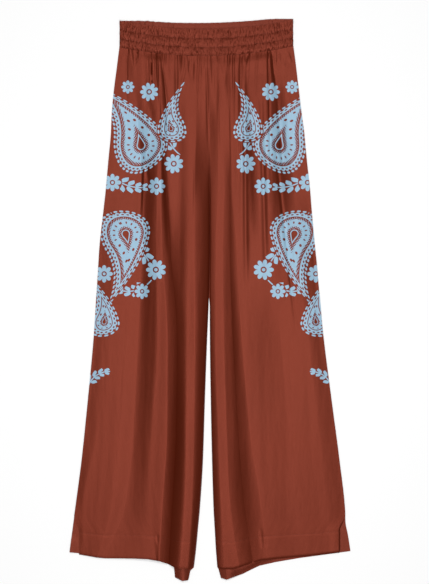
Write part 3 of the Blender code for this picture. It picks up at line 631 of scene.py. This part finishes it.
def cloth_shell(name, outer, inner, cloth, finishes, flip=False, creased=()):
    """A closed shell from two sheets of points of one size, in millimetres: a face, a reverse and a rim."""
    rows, columns = outer.shape[:2]
    face = np.arange(rows * columns).reshape(rows, columns)
    reverse = face + rows * columns
    edge = np.concatenate([face[0, :-1], face[:-1, -1], face[-1, :0:-1], face[:0:-1, 0]])
    after = np.roll(edge, -1)
    rim = np.stack([edge, after, after + rows * columns, edge + rows * columns], axis=-1)
    quads = np.concatenate([grid_quads(face), grid_quads(reverse)[:, ::-1], rim])
    if flip:
        quads = quads[:, ::-1]
    points = np.concatenate([outer.reshape(-1, 3), inner.reshape(-1, 3)]) * MM
    mesh = bpy.data.meshes.new(name)
    mesh.from_pydata(points.tolist(), [], quads.tolist())
    coordinates = np.concatenate([cloth.reshape(-1, 2)] * 2) * MM
    corners = np.empty(len(mesh.loops), dtype=np.int32)
    mesh.loops.foreach_get("vertex_index", corners)
    mesh.uv_layers.new(name="cloth").data.foreach_set("uv", coordinates[corners].astype(np.float32).ravel())
    mesh.shade_smooth()
    mesh.set_sharp_from_angle(angle=SHARP_ANGLE)
    crease(mesh, rows, columns, creased)
    for finish in finishes:
        mesh.materials.append(finish)
    slots = np.zeros(len(quads), dtype=np.int32)
    if len(finishes) > 1:
        faces = (rows - 1) * (columns - 1)
        slots[faces:2 * faces] = 1
    mesh.polygons.foreach_set("material_index", slots)
    mesh.update()
    return placed(name, mesh)


def dress(piece, slot_name, *nodes):
    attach(piece, "root")
    if nodes:
        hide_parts(*nodes)


# ---- back legs


def back_sheet(side, thickness):
    """Upper and under points of a back panel, which lies on the table, and its cloth coordinates."""
    hem = BACK_HEM[side][:: -1 if side == "left" else 1]
    heights = np.concatenate([np.arange(SEAM_ROW, HEM_ROWS_TOP, -BACK_ROW_STEP),
                              np.linspace(HEM_ROWS_TOP, HEM_ROW, BACK_HEM_ROWS)])
    to_hem = hem_share(heights)
    start = section_value(side + "_outseam", heights + to_hem * (hem[0].down - HEM_ROW))[:, None]
    end = section_value(side + "_inner", heights + to_hem * (hem[-1].down - HEM_ROW))
    end = (end - BACK_GAP_SHIFT * smooth_step(BACK_SHIFT_FOOT, BACK_SHIFT_TOP, heights))[:, None]
    ends = [p.across for p in hem]
    hem_shares = [(a - ends[0]) / (ends[-1] - ends[0]) for a in ends]
    share = np.union1d(np.linspace(0.0, 1.0, BACK_COLUMNS), hem_shares)[None, :]
    x = mix(start, end, share)
    downs = np.interp(share, hem_shares, [p.down for p in hem])
    y = heights[:, None] - SEAM_GAP + to_hem[:, None] * (downs - HEM_ROW)
    away = np.abs(x)
    lift = sum(trough_low(away, y, fold) for fold in BACK_CREASES)
    inset = np.minimum(np.abs(x - start), np.abs(x - end))
    lift *= np.minimum(1.0, inset / BACK_FLAT_EDGE)
    hump = HEM_HUMPS[side]
    rise = hump.rise * bump(x - hump.across, hump.width) * smooth_step(HUMP_TOP, HUMP_FULL, y)
    from_edge = heights[:, None] - HEM_ROW
    tilt = BACK_TILT[side]
    tilted = tilt.rise * bump(x - tilt.across, tilt.width) * smooth_step(0.0, TILT_FULL, from_edge)
    rise = rise + tilted * smooth_step(TILT_TOP, TILT_FALL, from_edge)
    beyond = smooth_step(abs(VENT_EDGE[side]), abs(BACK_CORNER), away)
    rise = rise + CORNER_CURL[side] * beyond * smooth_step(VENT_TOP, VENT_TOP - CURL_LENGTH, y)
    under = np.minimum(lift, BACK_WALL - thickness) + rise
    upper = BACK_WALL + rise
    cloth = np.dstack([np.abs(start) + np.abs(x - start), y])
    return np.dstack([x, y, upper]), np.dstack([x, y, under]), cloth


# ---- waistband


def ruche_lows(x, depth, line, scatter, random):
    """Small leaning pleats that spring from a line of stitching, most of them upwards."""
    low = np.zeros_like(x)
    for place, length, deep, width in scattered(scatter, x.min(), x.max(), random):
        lean = random.uniform(-RUCHE_LEAN, RUCHE_LEAN)
        above = line - depth
        reach = length * np.where(above > 0, random.uniform(*RUCHE_UP), random.uniform(*RUCHE_DOWN))
        low += deep * bump(above, reach) * bump(x - place - lean * above, width)
    return low


def channel_puff(depth):
    """0 at the stitching of a channel, 1 at its middle; the first starts part way up, at the fold."""
    t = depth * CHANNELS / BAND_DEPTH
    phase = np.where(t < 1, mix(FIRST_CHANNEL_PHASE, 1.0, t), t % 1.0)
    return np.sin(math.pi * phase)


def band_places(across, depth):
    """Places across the band, drawn in at the sides along the stitching."""
    drawn = BAND_NOTCH * (1 - channel_puff(depth)) * smooth_step(0.0, NOTCH_TOP, depth)
    drawn = drawn * smooth_step(BAND_DEPTH, NOTCH_FOOT, depth)
    return across - drawn * ((across - WAIST_MIDDLE) / WAIST_HALF) ** NOTCH_POWER


def waist_grid(columns, foot, rows):
    """Places across the waist and shares of a depth, for every point of a band's face."""
    return np.meshgrid(np.linspace(WAIST_START, WAIST_END, columns), np.linspace(0.0, foot, rows))


def uneven(across, lengths, random):
    """A rise and fall between about -1 and 1 along a gathered line, made of waves of a few lengths."""
    waves = [np.sin(across / length + random.uniform(0, 2 * math.pi)) for length in lengths]
    return waves[0] * waves[1] + 0.5 * waves[2]


def band_front_sheet(seed):
    """Outer and inner points of the front band: three puffed, ruched channels over a plain inside."""
    flat, depth = waist_grid(BAND_COLUMNS, BAND_DEPTH, BAND_ROWS)
    x = band_places(flat, depth)
    rim = smooth_step(0.0, BAND_RIM, np.minimum(flat - WAIST_START, WAIST_END - flat))
    random = np.random.default_rng(seed + BAND_SEED)
    wander = STITCH_WANDER * uneven(flat, WANDER_WAVES, random)
    dragged = depth - wander * WANDER_DRAG
    channel = np.clip((dragged * CHANNELS / BAND_DEPTH).astype(int), 0, CHANNELS - 1)
    full = np.choose(channel, [SLACK + FULLNESS * uneven(flat, FULL_WAVES, random) for _ in range(CHANNELS)])
    lines = [BAND_DEPTH * line / CHANNELS + wander for line in range(1, CHANNELS + 1)]
    low = sum(ruche_lows(flat, depth, line, RUCHES, random) for line in lines)
    half = BAND_DEPTH / CHANNELS / 2
    low += sum(ruche_lows(flat, depth, line - half, FINE_RUCHES, random) for line in lines)
    low += TOP_RUCHES * ruche_lows(flat, depth, TOP_LINE, RUCHES, random)
    low += SEAM_DRAW * bump(depth - BAND_DEPTH, SEAM_DRAW_WIDTH)
    pulled = sum(p.depth * bump(flat - p.across, PULL_WIDTH) for p in SEAM_PULLS)
    low += pulled * bump(depth - BAND_DEPTH, SEAM_PULL_RISE)
    level = CHANNEL_SEAM_LEVEL + CHANNEL_PUFF * full * channel_puff(dragged) - low * rim
    level = np.maximum(level, BACK_BAND_WALL + SEAM_GAP + LEAST_BAND) - RIM_FALL * (1 - rim)
    rippled = TOP_RIPPLE * ripple(flat) * smooth_step(RIPPLE_REACH, 0.0, depth)
    y = band_top(x) - depth + SEAM_GAP / 2 + rippled
    outer = np.dstack([x, y, level])
    inner = np.dstack([x, y, np.full_like(x, BACK_BAND_WALL + SEAM_GAP)])
    return outer, inner, np.dstack([x, y])


def ripple(across):
    """The small rise and fall of a gathered edge, which is strongest on the wearer's right."""
    rise = np.sin(across / 1.9) * np.sin(across / 13.0 + 0.8) + 0.5 * np.sin(across / 3.3)
    return rise * (0.4 + 1.3 * bump(across - RIPPLE_PEAK, RIPPLE_SPREAD))


def back_band_top(across):
    """The back band's upper edge, which shows above the front band's dip."""
    return curve_through([p.across for p in BACK_BAND_TOP], [p.height for p in BACK_BAND_TOP], across)


def band_back_sheet(seed):
    """Inside and outside points of the back band, flat on the table."""
    x, share = waist_grid(BACK_BAND_COLUMNS, 1.0, BACK_BAND_ROWS)
    top = back_band_top(x)
    y = mix(top + TOP_RIPPLE * ripple(x) * (1 - share) ** 6, SEAM_ROW, share)
    random = np.random.default_rng(seed + BACK_BAND_SEED)
    depth = top - y
    low = sum(ruche_lows(x, depth, line, BACK_RUCHES, random) for line in BACK_BAND_LINES)
    low += BACK_GROOVE * bump(depth - BACK_BAND_LINES[0], BACK_GROOVE_WIDTH)
    upper = BACK_BAND_WALL - np.minimum(low, 1.0)
    drawn = sum(ruche_lows(x, depth, line, BACK_RUCHES, random) for line in UNDER_LINES)
    under = 0.5 * np.minimum(drawn, 1.0)
    return np.dstack([x, y, upper]), np.dstack([x, y, under]), np.dstack([x, y])


# ---- node trees


def fill(tree, node, values):
    """Gives a node's sockets their values or links."""
    for name, value in values.items():
        socket = node.inputs[name]
        value = value.socket if isinstance(value, Shade) else value
        if isinstance(value, bpy.types.NodeSocket):
            tree.links.new(value, socket)
        else:
            socket.default_value = value


def add(tree, kind, settings=None, values=None):
    """A node of any kind: its settings are set first, then its sockets get values or links."""
    node = tree.nodes.new(kind)
    for name, value in (settings or {}).items():
        setattr(node, name, value)
    fill(tree, node, values or {})
    return node


def made(tree, kind, values, **settings):
    """The first output of a new node."""
    return add(tree, kind, settings, values).outputs[0]


def operation(kind, swapped=False):
    """A method of Shade that adds one Math node, with the two numbers swapped for a reflected form."""

    def method(self, *others):
        values = (*others, self) if swapped else (self, *others)
        return Shade(self.tree, made(self.tree, "ShaderNodeMath", dict(enumerate(values)), operation=kind))

    return method


class Shade:
    """A number that varies over a surface. Sums on it add Math nodes."""

    def __init__(self, tree, socket):
        self.tree = tree
        self.socket = socket

    __add__ = __radd__ = operation("ADD")
    __mul__ = __rmul__ = operation("MULTIPLY")
    __sub__ = operation("SUBTRACT")
    __rsub__ = operation("SUBTRACT", swapped=True)
    __truediv__ = operation("DIVIDE")
    __gt__ = operation("GREATER_THAN")
    __lt__ = operation("LESS_THAN")
    __abs__ = operation("ABSOLUTE")
    sine = operation("SINE")
    cosine = operation("COSINE")
    fraction = operation("FRACT")
    power = operation("POWER")
    most = operation("MAXIMUM")
    root = operation("SQRT")
    angle = operation("ARCTAN2")  # of the point whose upward part is self and whose sideways part is other

    def length(self, other):
        return (self * self + other * other).root()

    def eased(self, low, high):
        limits = {"Value": self, "From Min": low, "From Max": high}
        socket = made(self.tree, "ShaderNodeMapRange", limits, interpolation_type="SMOOTHSTEP")
        return Shade(self.tree, socket)

    def toward(self, other, share):
        """self where share is 0, other where it is 1."""
        return self + (other - self) * share


def mixed_colour(tree, share, first, second):
    node = add(tree, "ShaderNodeMix", {"data_type": "RGBA"}, {0: share, 6: first, 7: second})
    return node.outputs[2]


def scaled_colour(tree, colour, share):
    return made(tree, "ShaderNodeVectorMath", {0: tuple(colour), "Scale": share}, operation="SCALE")


# ---- print

Paisley = namedtuple("Paisley", "across up turn radius reach bend")
PAISLEYS = table(
    Paisley,
    (134, 298, -8, 46, 122, 0.0046), (74, 330, -22, 21, 58, -0.0100), (164, 126, 160, 42, 104, -0.0056),
    (206, -46, 14, 23, 66, 0.0080),
)
SCALLOP = 9.0  # width of one scallop of a rim
DOTS, DOT_SIZE, DOT_SPREAD = 5.6, 3.2, 14.0  # how far the ring of dots lies outside a paisley's edge
RIM_DEPTH, RIM_RISE = 6.2, 2.8
EYELETS, EYELET_SIZE, EYELET_SPREAD = 1.8, 2.0, 24.0  # how far the eyelets lie inside the edge
NET_START, NET_END, HEART = 7.8, 0.76, (0.80, 0.85)  # millimetres from the edge, then shares of the radius
CLEARANCE = 9.0  # how far a paisley's bare ground reaches beyond its edge
NET = 1.3  # threads of the drawn net, in radians for a millimetre
EYE, EYE_RING, DAISY_CLEARANCE = 0.17, 0.30, 1.1  # shares of a daisy's radius
Daisy = namedtuple("Daisy", "across up radius petals")
DAISIES = table(
    Daisy,
    (118, 402, 18, 9), (160, 412, 13, 8), (68, 262, 19, 9), (102, 218, 17, 8), (190, 226, 17, 8),
    (104, 56, 20, 9), (132, 14, 15, 8), (206, 48, 17, 8),
)
LEAF_PITCH, LEAF_LEAN, LEAF_WIDTH, LEAF_TAPER = 0.95, 0.75, 0.78, 0.62
STEM_HALF, STEM_TAIL = 1.15, 0.25  # half its width, and the share of its length before the first leaf
Frond = namedtuple("Frond", "across up ring start end leaf")
FRONDS = table(
    Frond,
    (134, 300, 84, -60, -96, 17), (20, 330, 62, -42, 8, 15), (184, 34, 76, 124, 170, 18),
    (160, 76, 62, -128, -72, 16), (196, -186, 44, 22, 92, 13),
)


def turned(u, v, across, up, degrees):
    """Coordinates about a motif's own centre and axis."""
    a = math.radians(degrees)
    x, y = u - across, v - up
    return x * math.cos(a) + y * math.sin(a), y * math.cos(a) - x * math.sin(a)


def paisley(u, v, spot):
    """A bent teardrop: a ring of dots, a scalloped rim with eyelets, net, a solid band and net."""
    x, y = turned(u, v, spot.across, spot.up, spot.turn)
    x = abs(x - y * y * spot.bend)
    b = spot.radius / spot.reach
    a = math.sqrt(1 - b * b)
    along = y * a - x * b
    below = along < 0
    edge = (x * a + y * b - spot.radius).toward(x.length(y) - spot.radius, below)
    round_head = (y.angle(x) - math.atan2(b, a)) * spot.radius
    way = along.toward(round_head, below)
    scallop = abs((way * (math.pi / SCALLOP)).sine())
    inside = 0.0 - edge
    gap = (1.0 - scallop) * (1.0 - scallop)
    dots = (edge - DOTS) * (edge - DOTS) + gap * DOT_SPREAD < DOT_SIZE
    rim = (scallop * RIM_RISE + inside > 0) * (inside < RIM_DEPTH)
    eyelet = (inside - EYELETS) * (inside - EYELETS) + gap * EYELET_SPREAD > EYELET_SIZE
    net = (x * NET).cosine() * (y * NET).cosine()
    share = inside / spot.radius
    petal = abs((way * (math.pi / SCALLOP / 2)).sine())
    tone = share.eased(0.24, 0.36) - share.eased(0.56, 0.72)
    drop = (share - 0.46) * (share - 0.46) * 260.0 + (1.0 - petal) * 10.0 > 1.0
    body = (net + tone * 1.9 > 0.42) * (inside > NET_START) * (share < NET_END) * drop
    heart = (share > HEART[0]) * (share < HEART[1])
    return dots.most(rim * eyelet).most(body).most(heart), edge < CLEARANCE


def daisy(u, v, spot):
    """A many-petalled flower with an open ring round its eye."""
    x, y = u - spot.across, v - spot.up
    far = x.length(y) / spot.radius
    petal = abs((y.angle(x) * (spot.petals / 2)).cosine())
    outline = petal.power(0.55) * 0.5 + 0.5
    return (far < outline) * ((far > EYE_RING) + (far < EYE)), far < DAISY_CLEARANCE


def frond(u, v, spot):
    """A curved stem with leaves in pairs that shrink towards its tip."""
    middle = (spot.start + spot.end) / 2
    x, y = turned(u, v, spot.across, spot.up, middle)
    along = y.angle(x) * math.copysign(spot.ring, spot.end - spot.start)
    off = abs(x.length(y) - spot.ring)
    half = math.radians(abs(spot.end - spot.start) / 2) * spot.ring
    share = (along + half) / (2 * half)
    size = (1.12 - share * LEAF_TAPER) * spot.leaf
    pitch = spot.leaf * LEAF_PITCH
    cells = (along - off * LEAF_LEAN) / pitch
    cell = cells.fraction() - 0.5
    centre = ((cells - cell) * pitch + half) / (2 * half)
    reach = off / size
    leaf = (abs(cell) * 2.0 < (reach * 3.3).sine() * LEAF_WIDTH) * (reach < 0.95) * (reach > 0.10)
    within = (centre > 0.0) * (centre < 1.0)
    stem = (off < STEM_HALF) * (share > -STEM_TAIL) * (share < 1.0)
    return (leaf * within).most(stem), None


def spray(u, v):
    """Where the printed spray's ink lies, in millimetres of cloth. A later motif clears its ground."""
    ink = None
    for draw, spots in ((frond, FRONDS), (paisley, PAISLEYS), (daisy, DAISIES)):
        for spot in spots:
            mark, ground = draw(u, v, spot)
            if ink is not None and ground is not None:
                ink = ink * (1.0 - ground)
            ink = mark if ink is None else ink.most(mark)
    return ink


# ---- finishes

SLUB_SCALE, CLOUD_SCALE, CRINKLE_SCALE = 900.0, 9.0, 70.0
SLUB_STRETCH, CRINKLE_STRETCH = 0.06, 0.18  # their scale along the cloth against that across it
# The slub and cloud tints are the silk's own uneven tone; the twill's is painted shade along the weave's
# ribs.
SLUB_TINT, CLOUD_TINT, TWILL_SHADE = 0.16, 0.10, 0.025
TWILL_RELIEF, SLUB_RELIEF, CRINKLE_RELIEF = 0.000012, 0.00003, 0.00035  # heights in metres
TWILL_SLOPE = 1.25
SHEEN, INK_SHEEN = 0.55, 0.10
INK_COVER, INK_WEAR = 0.94, 0.3
THREAD_TWIST = 18000.0  # radians for a metre


def fibre_shader(name):
    """A new material and its Principled shader."""
    finish = bpy.data.materials.new(name)
    finish.use_nodes = True
    return finish, finish.node_tree, finish.node_tree.nodes["Principled BSDF"]


def noise(tree, vector, scale, stretch=1.0):
    """Noise over the cloth, drawn out along it where stretch is below 1."""
    mapped = made(tree, "ShaderNodeMapping", {"Vector": vector, "Scale": (1.0, stretch, 1.0)})
    node = add(tree, "ShaderNodeTexNoise", {"noise_dimensions": "3D"},
               {"Vector": mapped, "Scale": scale, "Detail": 2.0, "Roughness": 0.55})
    return Shade(tree, node.outputs["Fac"])


def silk_twill(name, cloth, printed=True, shade=1.0):
    """Silk twill: diagonal weave, fine slubs, soft coloured sheen and, on the face, the printed spray."""
    finish, tree, shader = fibre_shader(name)
    uv = made(tree, "ShaderNodeUVMap", {}, uv_map="cloth")
    parts = add(tree, "ShaderNodeSeparateXYZ", {}, {0: uv})
    u = Shade(tree, parts.outputs[0]) * 1000.0
    v = Shade(tree, parts.outputs[1]) * 1000.0
    slub = noise(tree, uv, SLUB_SCALE, SLUB_STRETCH) - 0.5
    cloudy = noise(tree, uv, CLOUD_SCALE) - 0.5
    crinkle = noise(tree, uv, CRINKLE_SCALE, CRINKLE_STRETCH)
    twill = ((u + v * TWILL_SLOPE) * (2 * math.pi / (cloth.twill_pitch * 1000))).sine()
    # the silk's uneven tone, plus painted shade of the twill's ribs
    tone_and_twill_shade = slub * SLUB_TINT + cloudy * CLOUD_TINT + twill * TWILL_SHADE + 1.0
    # shade below 1 makes a darker copy of the same silk: painted shade
    colour, sheen = scaled_colour(tree, [c * shade for c in cloth.ground], tone_and_twill_shade), SHEEN
    if printed:
        ink = spray(u, v)
        cover = ink * (slub * INK_WEAR + INK_COVER)
        colour = mixed_colour(tree, cover, colour, scaled_colour(tree, cloth.print_ink, tone_and_twill_shade))
        sheen = SHEEN - ink * (SHEEN - INK_SHEEN)
    height = twill * TWILL_RELIEF + slub * SLUB_RELIEF + crinkle * CRINKLE_RELIEF
    normal = made(tree, "ShaderNodeBump", {"Height": height, "Strength": 1.0, "Distance": 1.0})
    fill(tree, shader, {"Base Color": colour, "Metallic": sheen, "Roughness": slub * 0.14 + 0.44,
                        "Specular IOR Level": 0.25, "Normal": normal})
    return finish


def thread_finish(cloth):
    """Silk thread, a shade darker than the cloth, twisted, with painted light and shade along the twist."""
    finish, tree, shader = fibre_shader("silk thread")
    place = add(tree, "ShaderNodeTexCoord").outputs["Object"]
    parts = add(tree, "ShaderNodeSeparateXYZ", {}, {0: place})
    twist = ((Shade(tree, parts.outputs[0]) + Shade(tree, parts.outputs[1])) * THREAD_TWIST).sine()
    # the twist's light and dark bands in the colour are painted shade and highlight; in the roughness they
    # are real
    colour = scaled_colour(tree, [c * 0.9 for c in cloth.ground], twist * 0.12 + 1.0)
    fill(tree, shader, {"Base Color": colour, "Roughness": twist * 0.05 + 0.45, "Metallic": 0.3})
    return finish


# ---- stitching

HEM_ENDS, VENT_COLUMN, CHANNEL_ENDS = slice(3, -6), 4, slice(2, -2)  # points of a sheet that are sewn
LEG_PROUD, BAND_PROUD = (0.0, 0.0, 0.1), (0.0, 0.0, 0.15)


def stitch_tree(finish):
    """Geometry nodes that lay one stitch after another along a line."""
    tree = bpy.data.node_groups.new("machine stitches", "GeometryNodeTree")
    tree.interface.new_socket("Line", in_out="INPUT", socket_type="NodeSocketGeometry")
    for label in ("Spacing", "Length", "Thread"):
        tree.interface.new_socket(label, in_out="INPUT", socket_type="NodeSocketFloat")
    tree.interface.new_socket("Stitches", in_out="OUTPUT", socket_type="NodeSocketGeometry")
    given = add(tree, "NodeGroupInput").outputs
    line = made(tree, "GeometryNodeMeshToCurve", {0: given["Line"]})
    points = made(tree, "GeometryNodeResampleCurve", {"Curve": line, "Length": given["Spacing"]},
                  mode="LENGTH")
    tangent = made(tree, "GeometryNodeInputTangent", {})
    turn = made(tree, "FunctionNodeAlignRotationToVector", {"Vector": tangent}, axis="X")
    size = made(tree, "ShaderNodeCombineXYZ", {0: given["Length"], 1: given["Thread"], 2: given["Thread"]})
    ball = made(tree, "GeometryNodeMeshIcoSphere", {"Radius": 0.5, "Subdivisions": 2})
    laid = made(tree, "GeometryNodeInstanceOnPoints",
                {"Points": points, "Instance": ball, "Rotation": turn, "Scale": size})
    real = made(tree, "GeometryNodeRealizeInstances", {0: laid})
    smooth = made(tree, "GeometryNodeSetShadeSmooth", {0: real})
    done = made(tree, "GeometryNodeSetMaterial", {"Geometry": smooth, "Material": finish})
    add(tree, "NodeGroupOutput", {}, {0: done})
    return tree


def stitched(name, lines, sizes, finish):
    """One piece with a stitch every so often along each line of points, given in millimetres."""
    points, edges = [], []
    for line in lines:
        start = len(points)
        points += [tuple(p) for p in np.asarray(line) * MM]
        edges += [(i, i + 1) for i in range(start, len(points) - 1)]
    mesh = bpy.data.meshes.new(name + " lines")
    mesh.from_pydata(points, edges, [])
    rough = placed(name + " lines", mesh)
    modifier = rough.modifiers.new("stitches", "NODES")
    modifier.node_group = stitch_tree(finish)
    wanted = {"Spacing": sizes.spacing, "Length": sizes.length, "Thread": sizes.thread}
    for item in modifier.node_group.interface.items_tree:
        if item.in_out == "INPUT" and item.name in wanted:
            modifier[item.identifier] = wanted[item.name]
    evaluated = rough.evaluated_get(bpy.context.evaluated_depsgraph_get())
    done = bpy.data.meshes.new_from_object(evaluated)
    done.name = name
    piece = placed(name, done)
    bpy.data.objects.remove(rough)
    return piece


def front_hem_line(side, sizes, seed):
    """The hem's stitching on a front panel, a little proud of the cloth."""
    outer, _, _, heights, _ = front_sheet(side, sizes.thickness / MM, seed)
    row = int(np.argmin(np.abs(heights - (HEM_ROW + HEM_DEPTH))))
    return outer[row, HEM_ENDS] + LEG_PROUD


def vent_line(side, sizes, seed):
    """The stitching beside a vent's edge, from the hem up past the vent's top."""
    outer, _, _, heights, _ = front_sheet(side, sizes.thickness / MM, seed)
    return outer[heights < VENT_TOP + VENT_EASE, VENT_COLUMN] + LEG_PROUD


# ---- operators

FLOOR_HALF, PAPER = 6.0, (0.93, 0.93, 0.93, 1.0)
SOFTBOX_SIZE, SOFTBOX_PLACE = (1.6, 3.6), (0.0, 0.04, 2.9)
CAMERA_LENS, CAMERA_PLACE, CAMERA_REACH = 94.84, (0.00878, 0.01268, 3.0), 20.0


def settings():
    scene = bpy.context.scene
    return scene.pants_cloth, scene.pants_stitches, scene.pants_stage


class GARMENT_OT_front_legs(bpy.types.Operator):
    """Build the two front leg panels with their gathers, long folds and hems"""

    bl_idname = "garment.front_legs"
    bl_label = "Front Legs"

    def execute(self, context):
        cloth, _, stage = settings()
        face = silk_twill("printed silk twill", cloth)
        # the reverse is a darker copy of the same silk: painted shade
        inside = silk_twill("silk twill reverse", cloth, printed=False, shade=0.9)
        for side in SIDES:
            *sheets, _, valleys = front_sheet(side, cloth.thickness / MM, stage.seed)
            piece = cloth_shell("leg_front_" + side, *sheets, (face, inside), side == "left", valleys)
            dress(piece, "silk_twill", "front_" + side)
        return {"FINISHED"}


class GARMENT_OT_back_legs(bpy.types.Operator):
    """Build the two back leg panels, which lie on the table"""

    bl_idname = "garment.back_legs"
    bl_label = "Back Legs"

    def execute(self, context):
        cloth, _, _ = settings()
        face = silk_twill("printed silk twill, back", cloth)
        # the back panels' upper face, under the fronts, gets the darker copy of the silk: painted shade
        inside = silk_twill("silk twill reverse, back", cloth, printed=False, shade=0.9)
        for side in SIDES:
            sheets = back_sheet(side, cloth.thickness / MM)
            piece = cloth_shell("leg_back_" + side, *sheets, (inside, face), side == "left")
            dress(piece, "silk_twill_back", "back_" + side)
        return {"FINISHED"}


class GARMENT_OT_waistband(bpy.types.Operator):
    """Build the ruched front band and the inside of the back band"""

    bl_idname = "garment.waistband"
    bl_label = "Waistband"

    def execute(self, context):
        cloth, _, stage = settings()
        # a darker copy of the silk: painted shade of the band's fine crinkles
        plain = silk_twill("waistband twill", cloth, printed=False, shade=0.95)
        front = cloth_shell("band_front", *band_front_sheet(stage.seed), (plain,))
        dress(front, "silk_waistband", "waistband_front")
        # the back band's inside, behind the front band, is a still darker copy of the silk: painted shade
        inside = silk_twill("waistband twill, inside", cloth, printed=False, shade=0.86)
        back = cloth_shell("band_back", *band_back_sheet(stage.seed), (inside,))
        dress(back, "silk_waistband_inside", "waistband_back")
        return {"FINISHED"}


class GARMENT_OT_stitching(bpy.types.Operator):
    """Lay the machine stitching of the hems, the vents and the band's channels"""

    bl_idname = "garment.stitching"
    bl_label = "Stitching"

    def execute(self, context):
        cloth, stitches, stage = settings()
        finish = thread_finish(cloth)
        hems = [front_hem_line(side, cloth, stage.seed) for side in SIDES]
        vents = [vent_line(side, cloth, stage.seed) for side in SIDES]
        dress(stitched("hem_stitches", hems + vents, stitches, finish), "silk_twill")
        outer, _, _ = band_front_sheet(stage.seed)
        rows = [round((len(outer) - 1) * i / CHANNELS) for i in range(1, CHANNELS)]
        channels = [outer[row, CHANNEL_ENDS] + BAND_PROUD for row in rows]
        dress(stitched("band_stitches", channels, stitches, finish), "silk_waistband")
        return {"FINISHED"}


class GARMENT_OT_stage(bpy.types.Operator):
    """Set the pale floor, the overhead softbox and the camera above"""

    bl_idname = "garment.stage"
    bl_label = "Stage"

    def execute(self, context):
        _, _, stage = settings()
        scene = context.scene
        mesh = bpy.data.meshes.new("floor")
        corners = [(x * FLOOR_HALF, y * FLOOR_HALF, 0) for x, y in ((-1, -1), (1, -1), (1, 1), (-1, 1))]
        mesh.from_pydata(corners, [], [(0, 1, 2, 3)])
        floor = placed("floor", mesh)
        finish, tree, shader = fibre_shader("pale paper")
        fill(tree, shader, {"Base Color": PAPER, "Roughness": 0.9, "Specular IOR Level": 0.1})
        mesh.materials.append(finish)
        lamp = bpy.data.lights.new("softbox", "AREA")
        lamp.shape = "RECTANGLE"
        lamp.size, lamp.size_y = SOFTBOX_SIZE
        lamp.energy = stage.key_power
        placed("softbox", lamp).location = SOFTBOX_PLACE
        world = bpy.data.worlds.new("studio")
        world.use_nodes = True
        background = world.node_tree.nodes["Background"]
        fill(world.node_tree, background, {"Color": (1.0, 1.0, 1.0, 1.0), "Strength": stage.fill})
        scene.world = world
        scene.view_settings.view_transform = "Standard"
        lens = bpy.data.cameras.new("camera")
        lens.lens, lens.clip_end = CAMERA_LENS, CAMERA_REACH
        scene.camera = placed("camera", lens)
        scene.camera.location = CAMERA_PLACE
        return {"FINISHED"}


STEPS = (
    GARMENT_OT_front_legs,
    GARMENT_OT_back_legs,
    GARMENT_OT_waistband,
    GARMENT_OT_stitching,
    GARMENT_OT_stage,
)


class GARMENT_PT_pants(bpy.types.Panel):
    """Lists the sizes and the steps that build the pants"""

    bl_idname = "GARMENT_PT_pants"
    bl_label = "Palazzo Pants"
    bl_space_type = "VIEW_3D"
    bl_region_type = "UI"
    bl_category = "Garment"

    def draw(self, context):
        scene = context.scene
        for group in (scene.pants_cloth, scene.pants_stitches, scene.pants_stage):
            for name in group.__annotations__:
                self.layout.prop(group, name)
        for step in STEPS:
            self.layout.operator(step.bl_idname)


GROUPS = {"pants_cloth": ClothSizes, "pants_stitches": StitchSizes, "pants_stage": StageSizes}
CLASSES = (*GROUPS.values(), *STEPS, GARMENT_PT_pants)


def register():
    for one in CLASSES:
        bpy.utils.register_class(one)
    for name, group in GROUPS.items():
        setattr(bpy.types.Scene, name, PointerProperty(type=group))


def unregister():
    for name in GROUPS:
        delattr(bpy.types.Scene, name)
    for one in reversed(CLASSES):
        bpy.utils.unregister_class(one)


def main():
    register()
    for step in STEPS:
        group, name = step.bl_idname.split(".")
        getattr(getattr(bpy.ops, group), name)()


if __name__ == "__main__":
    main()
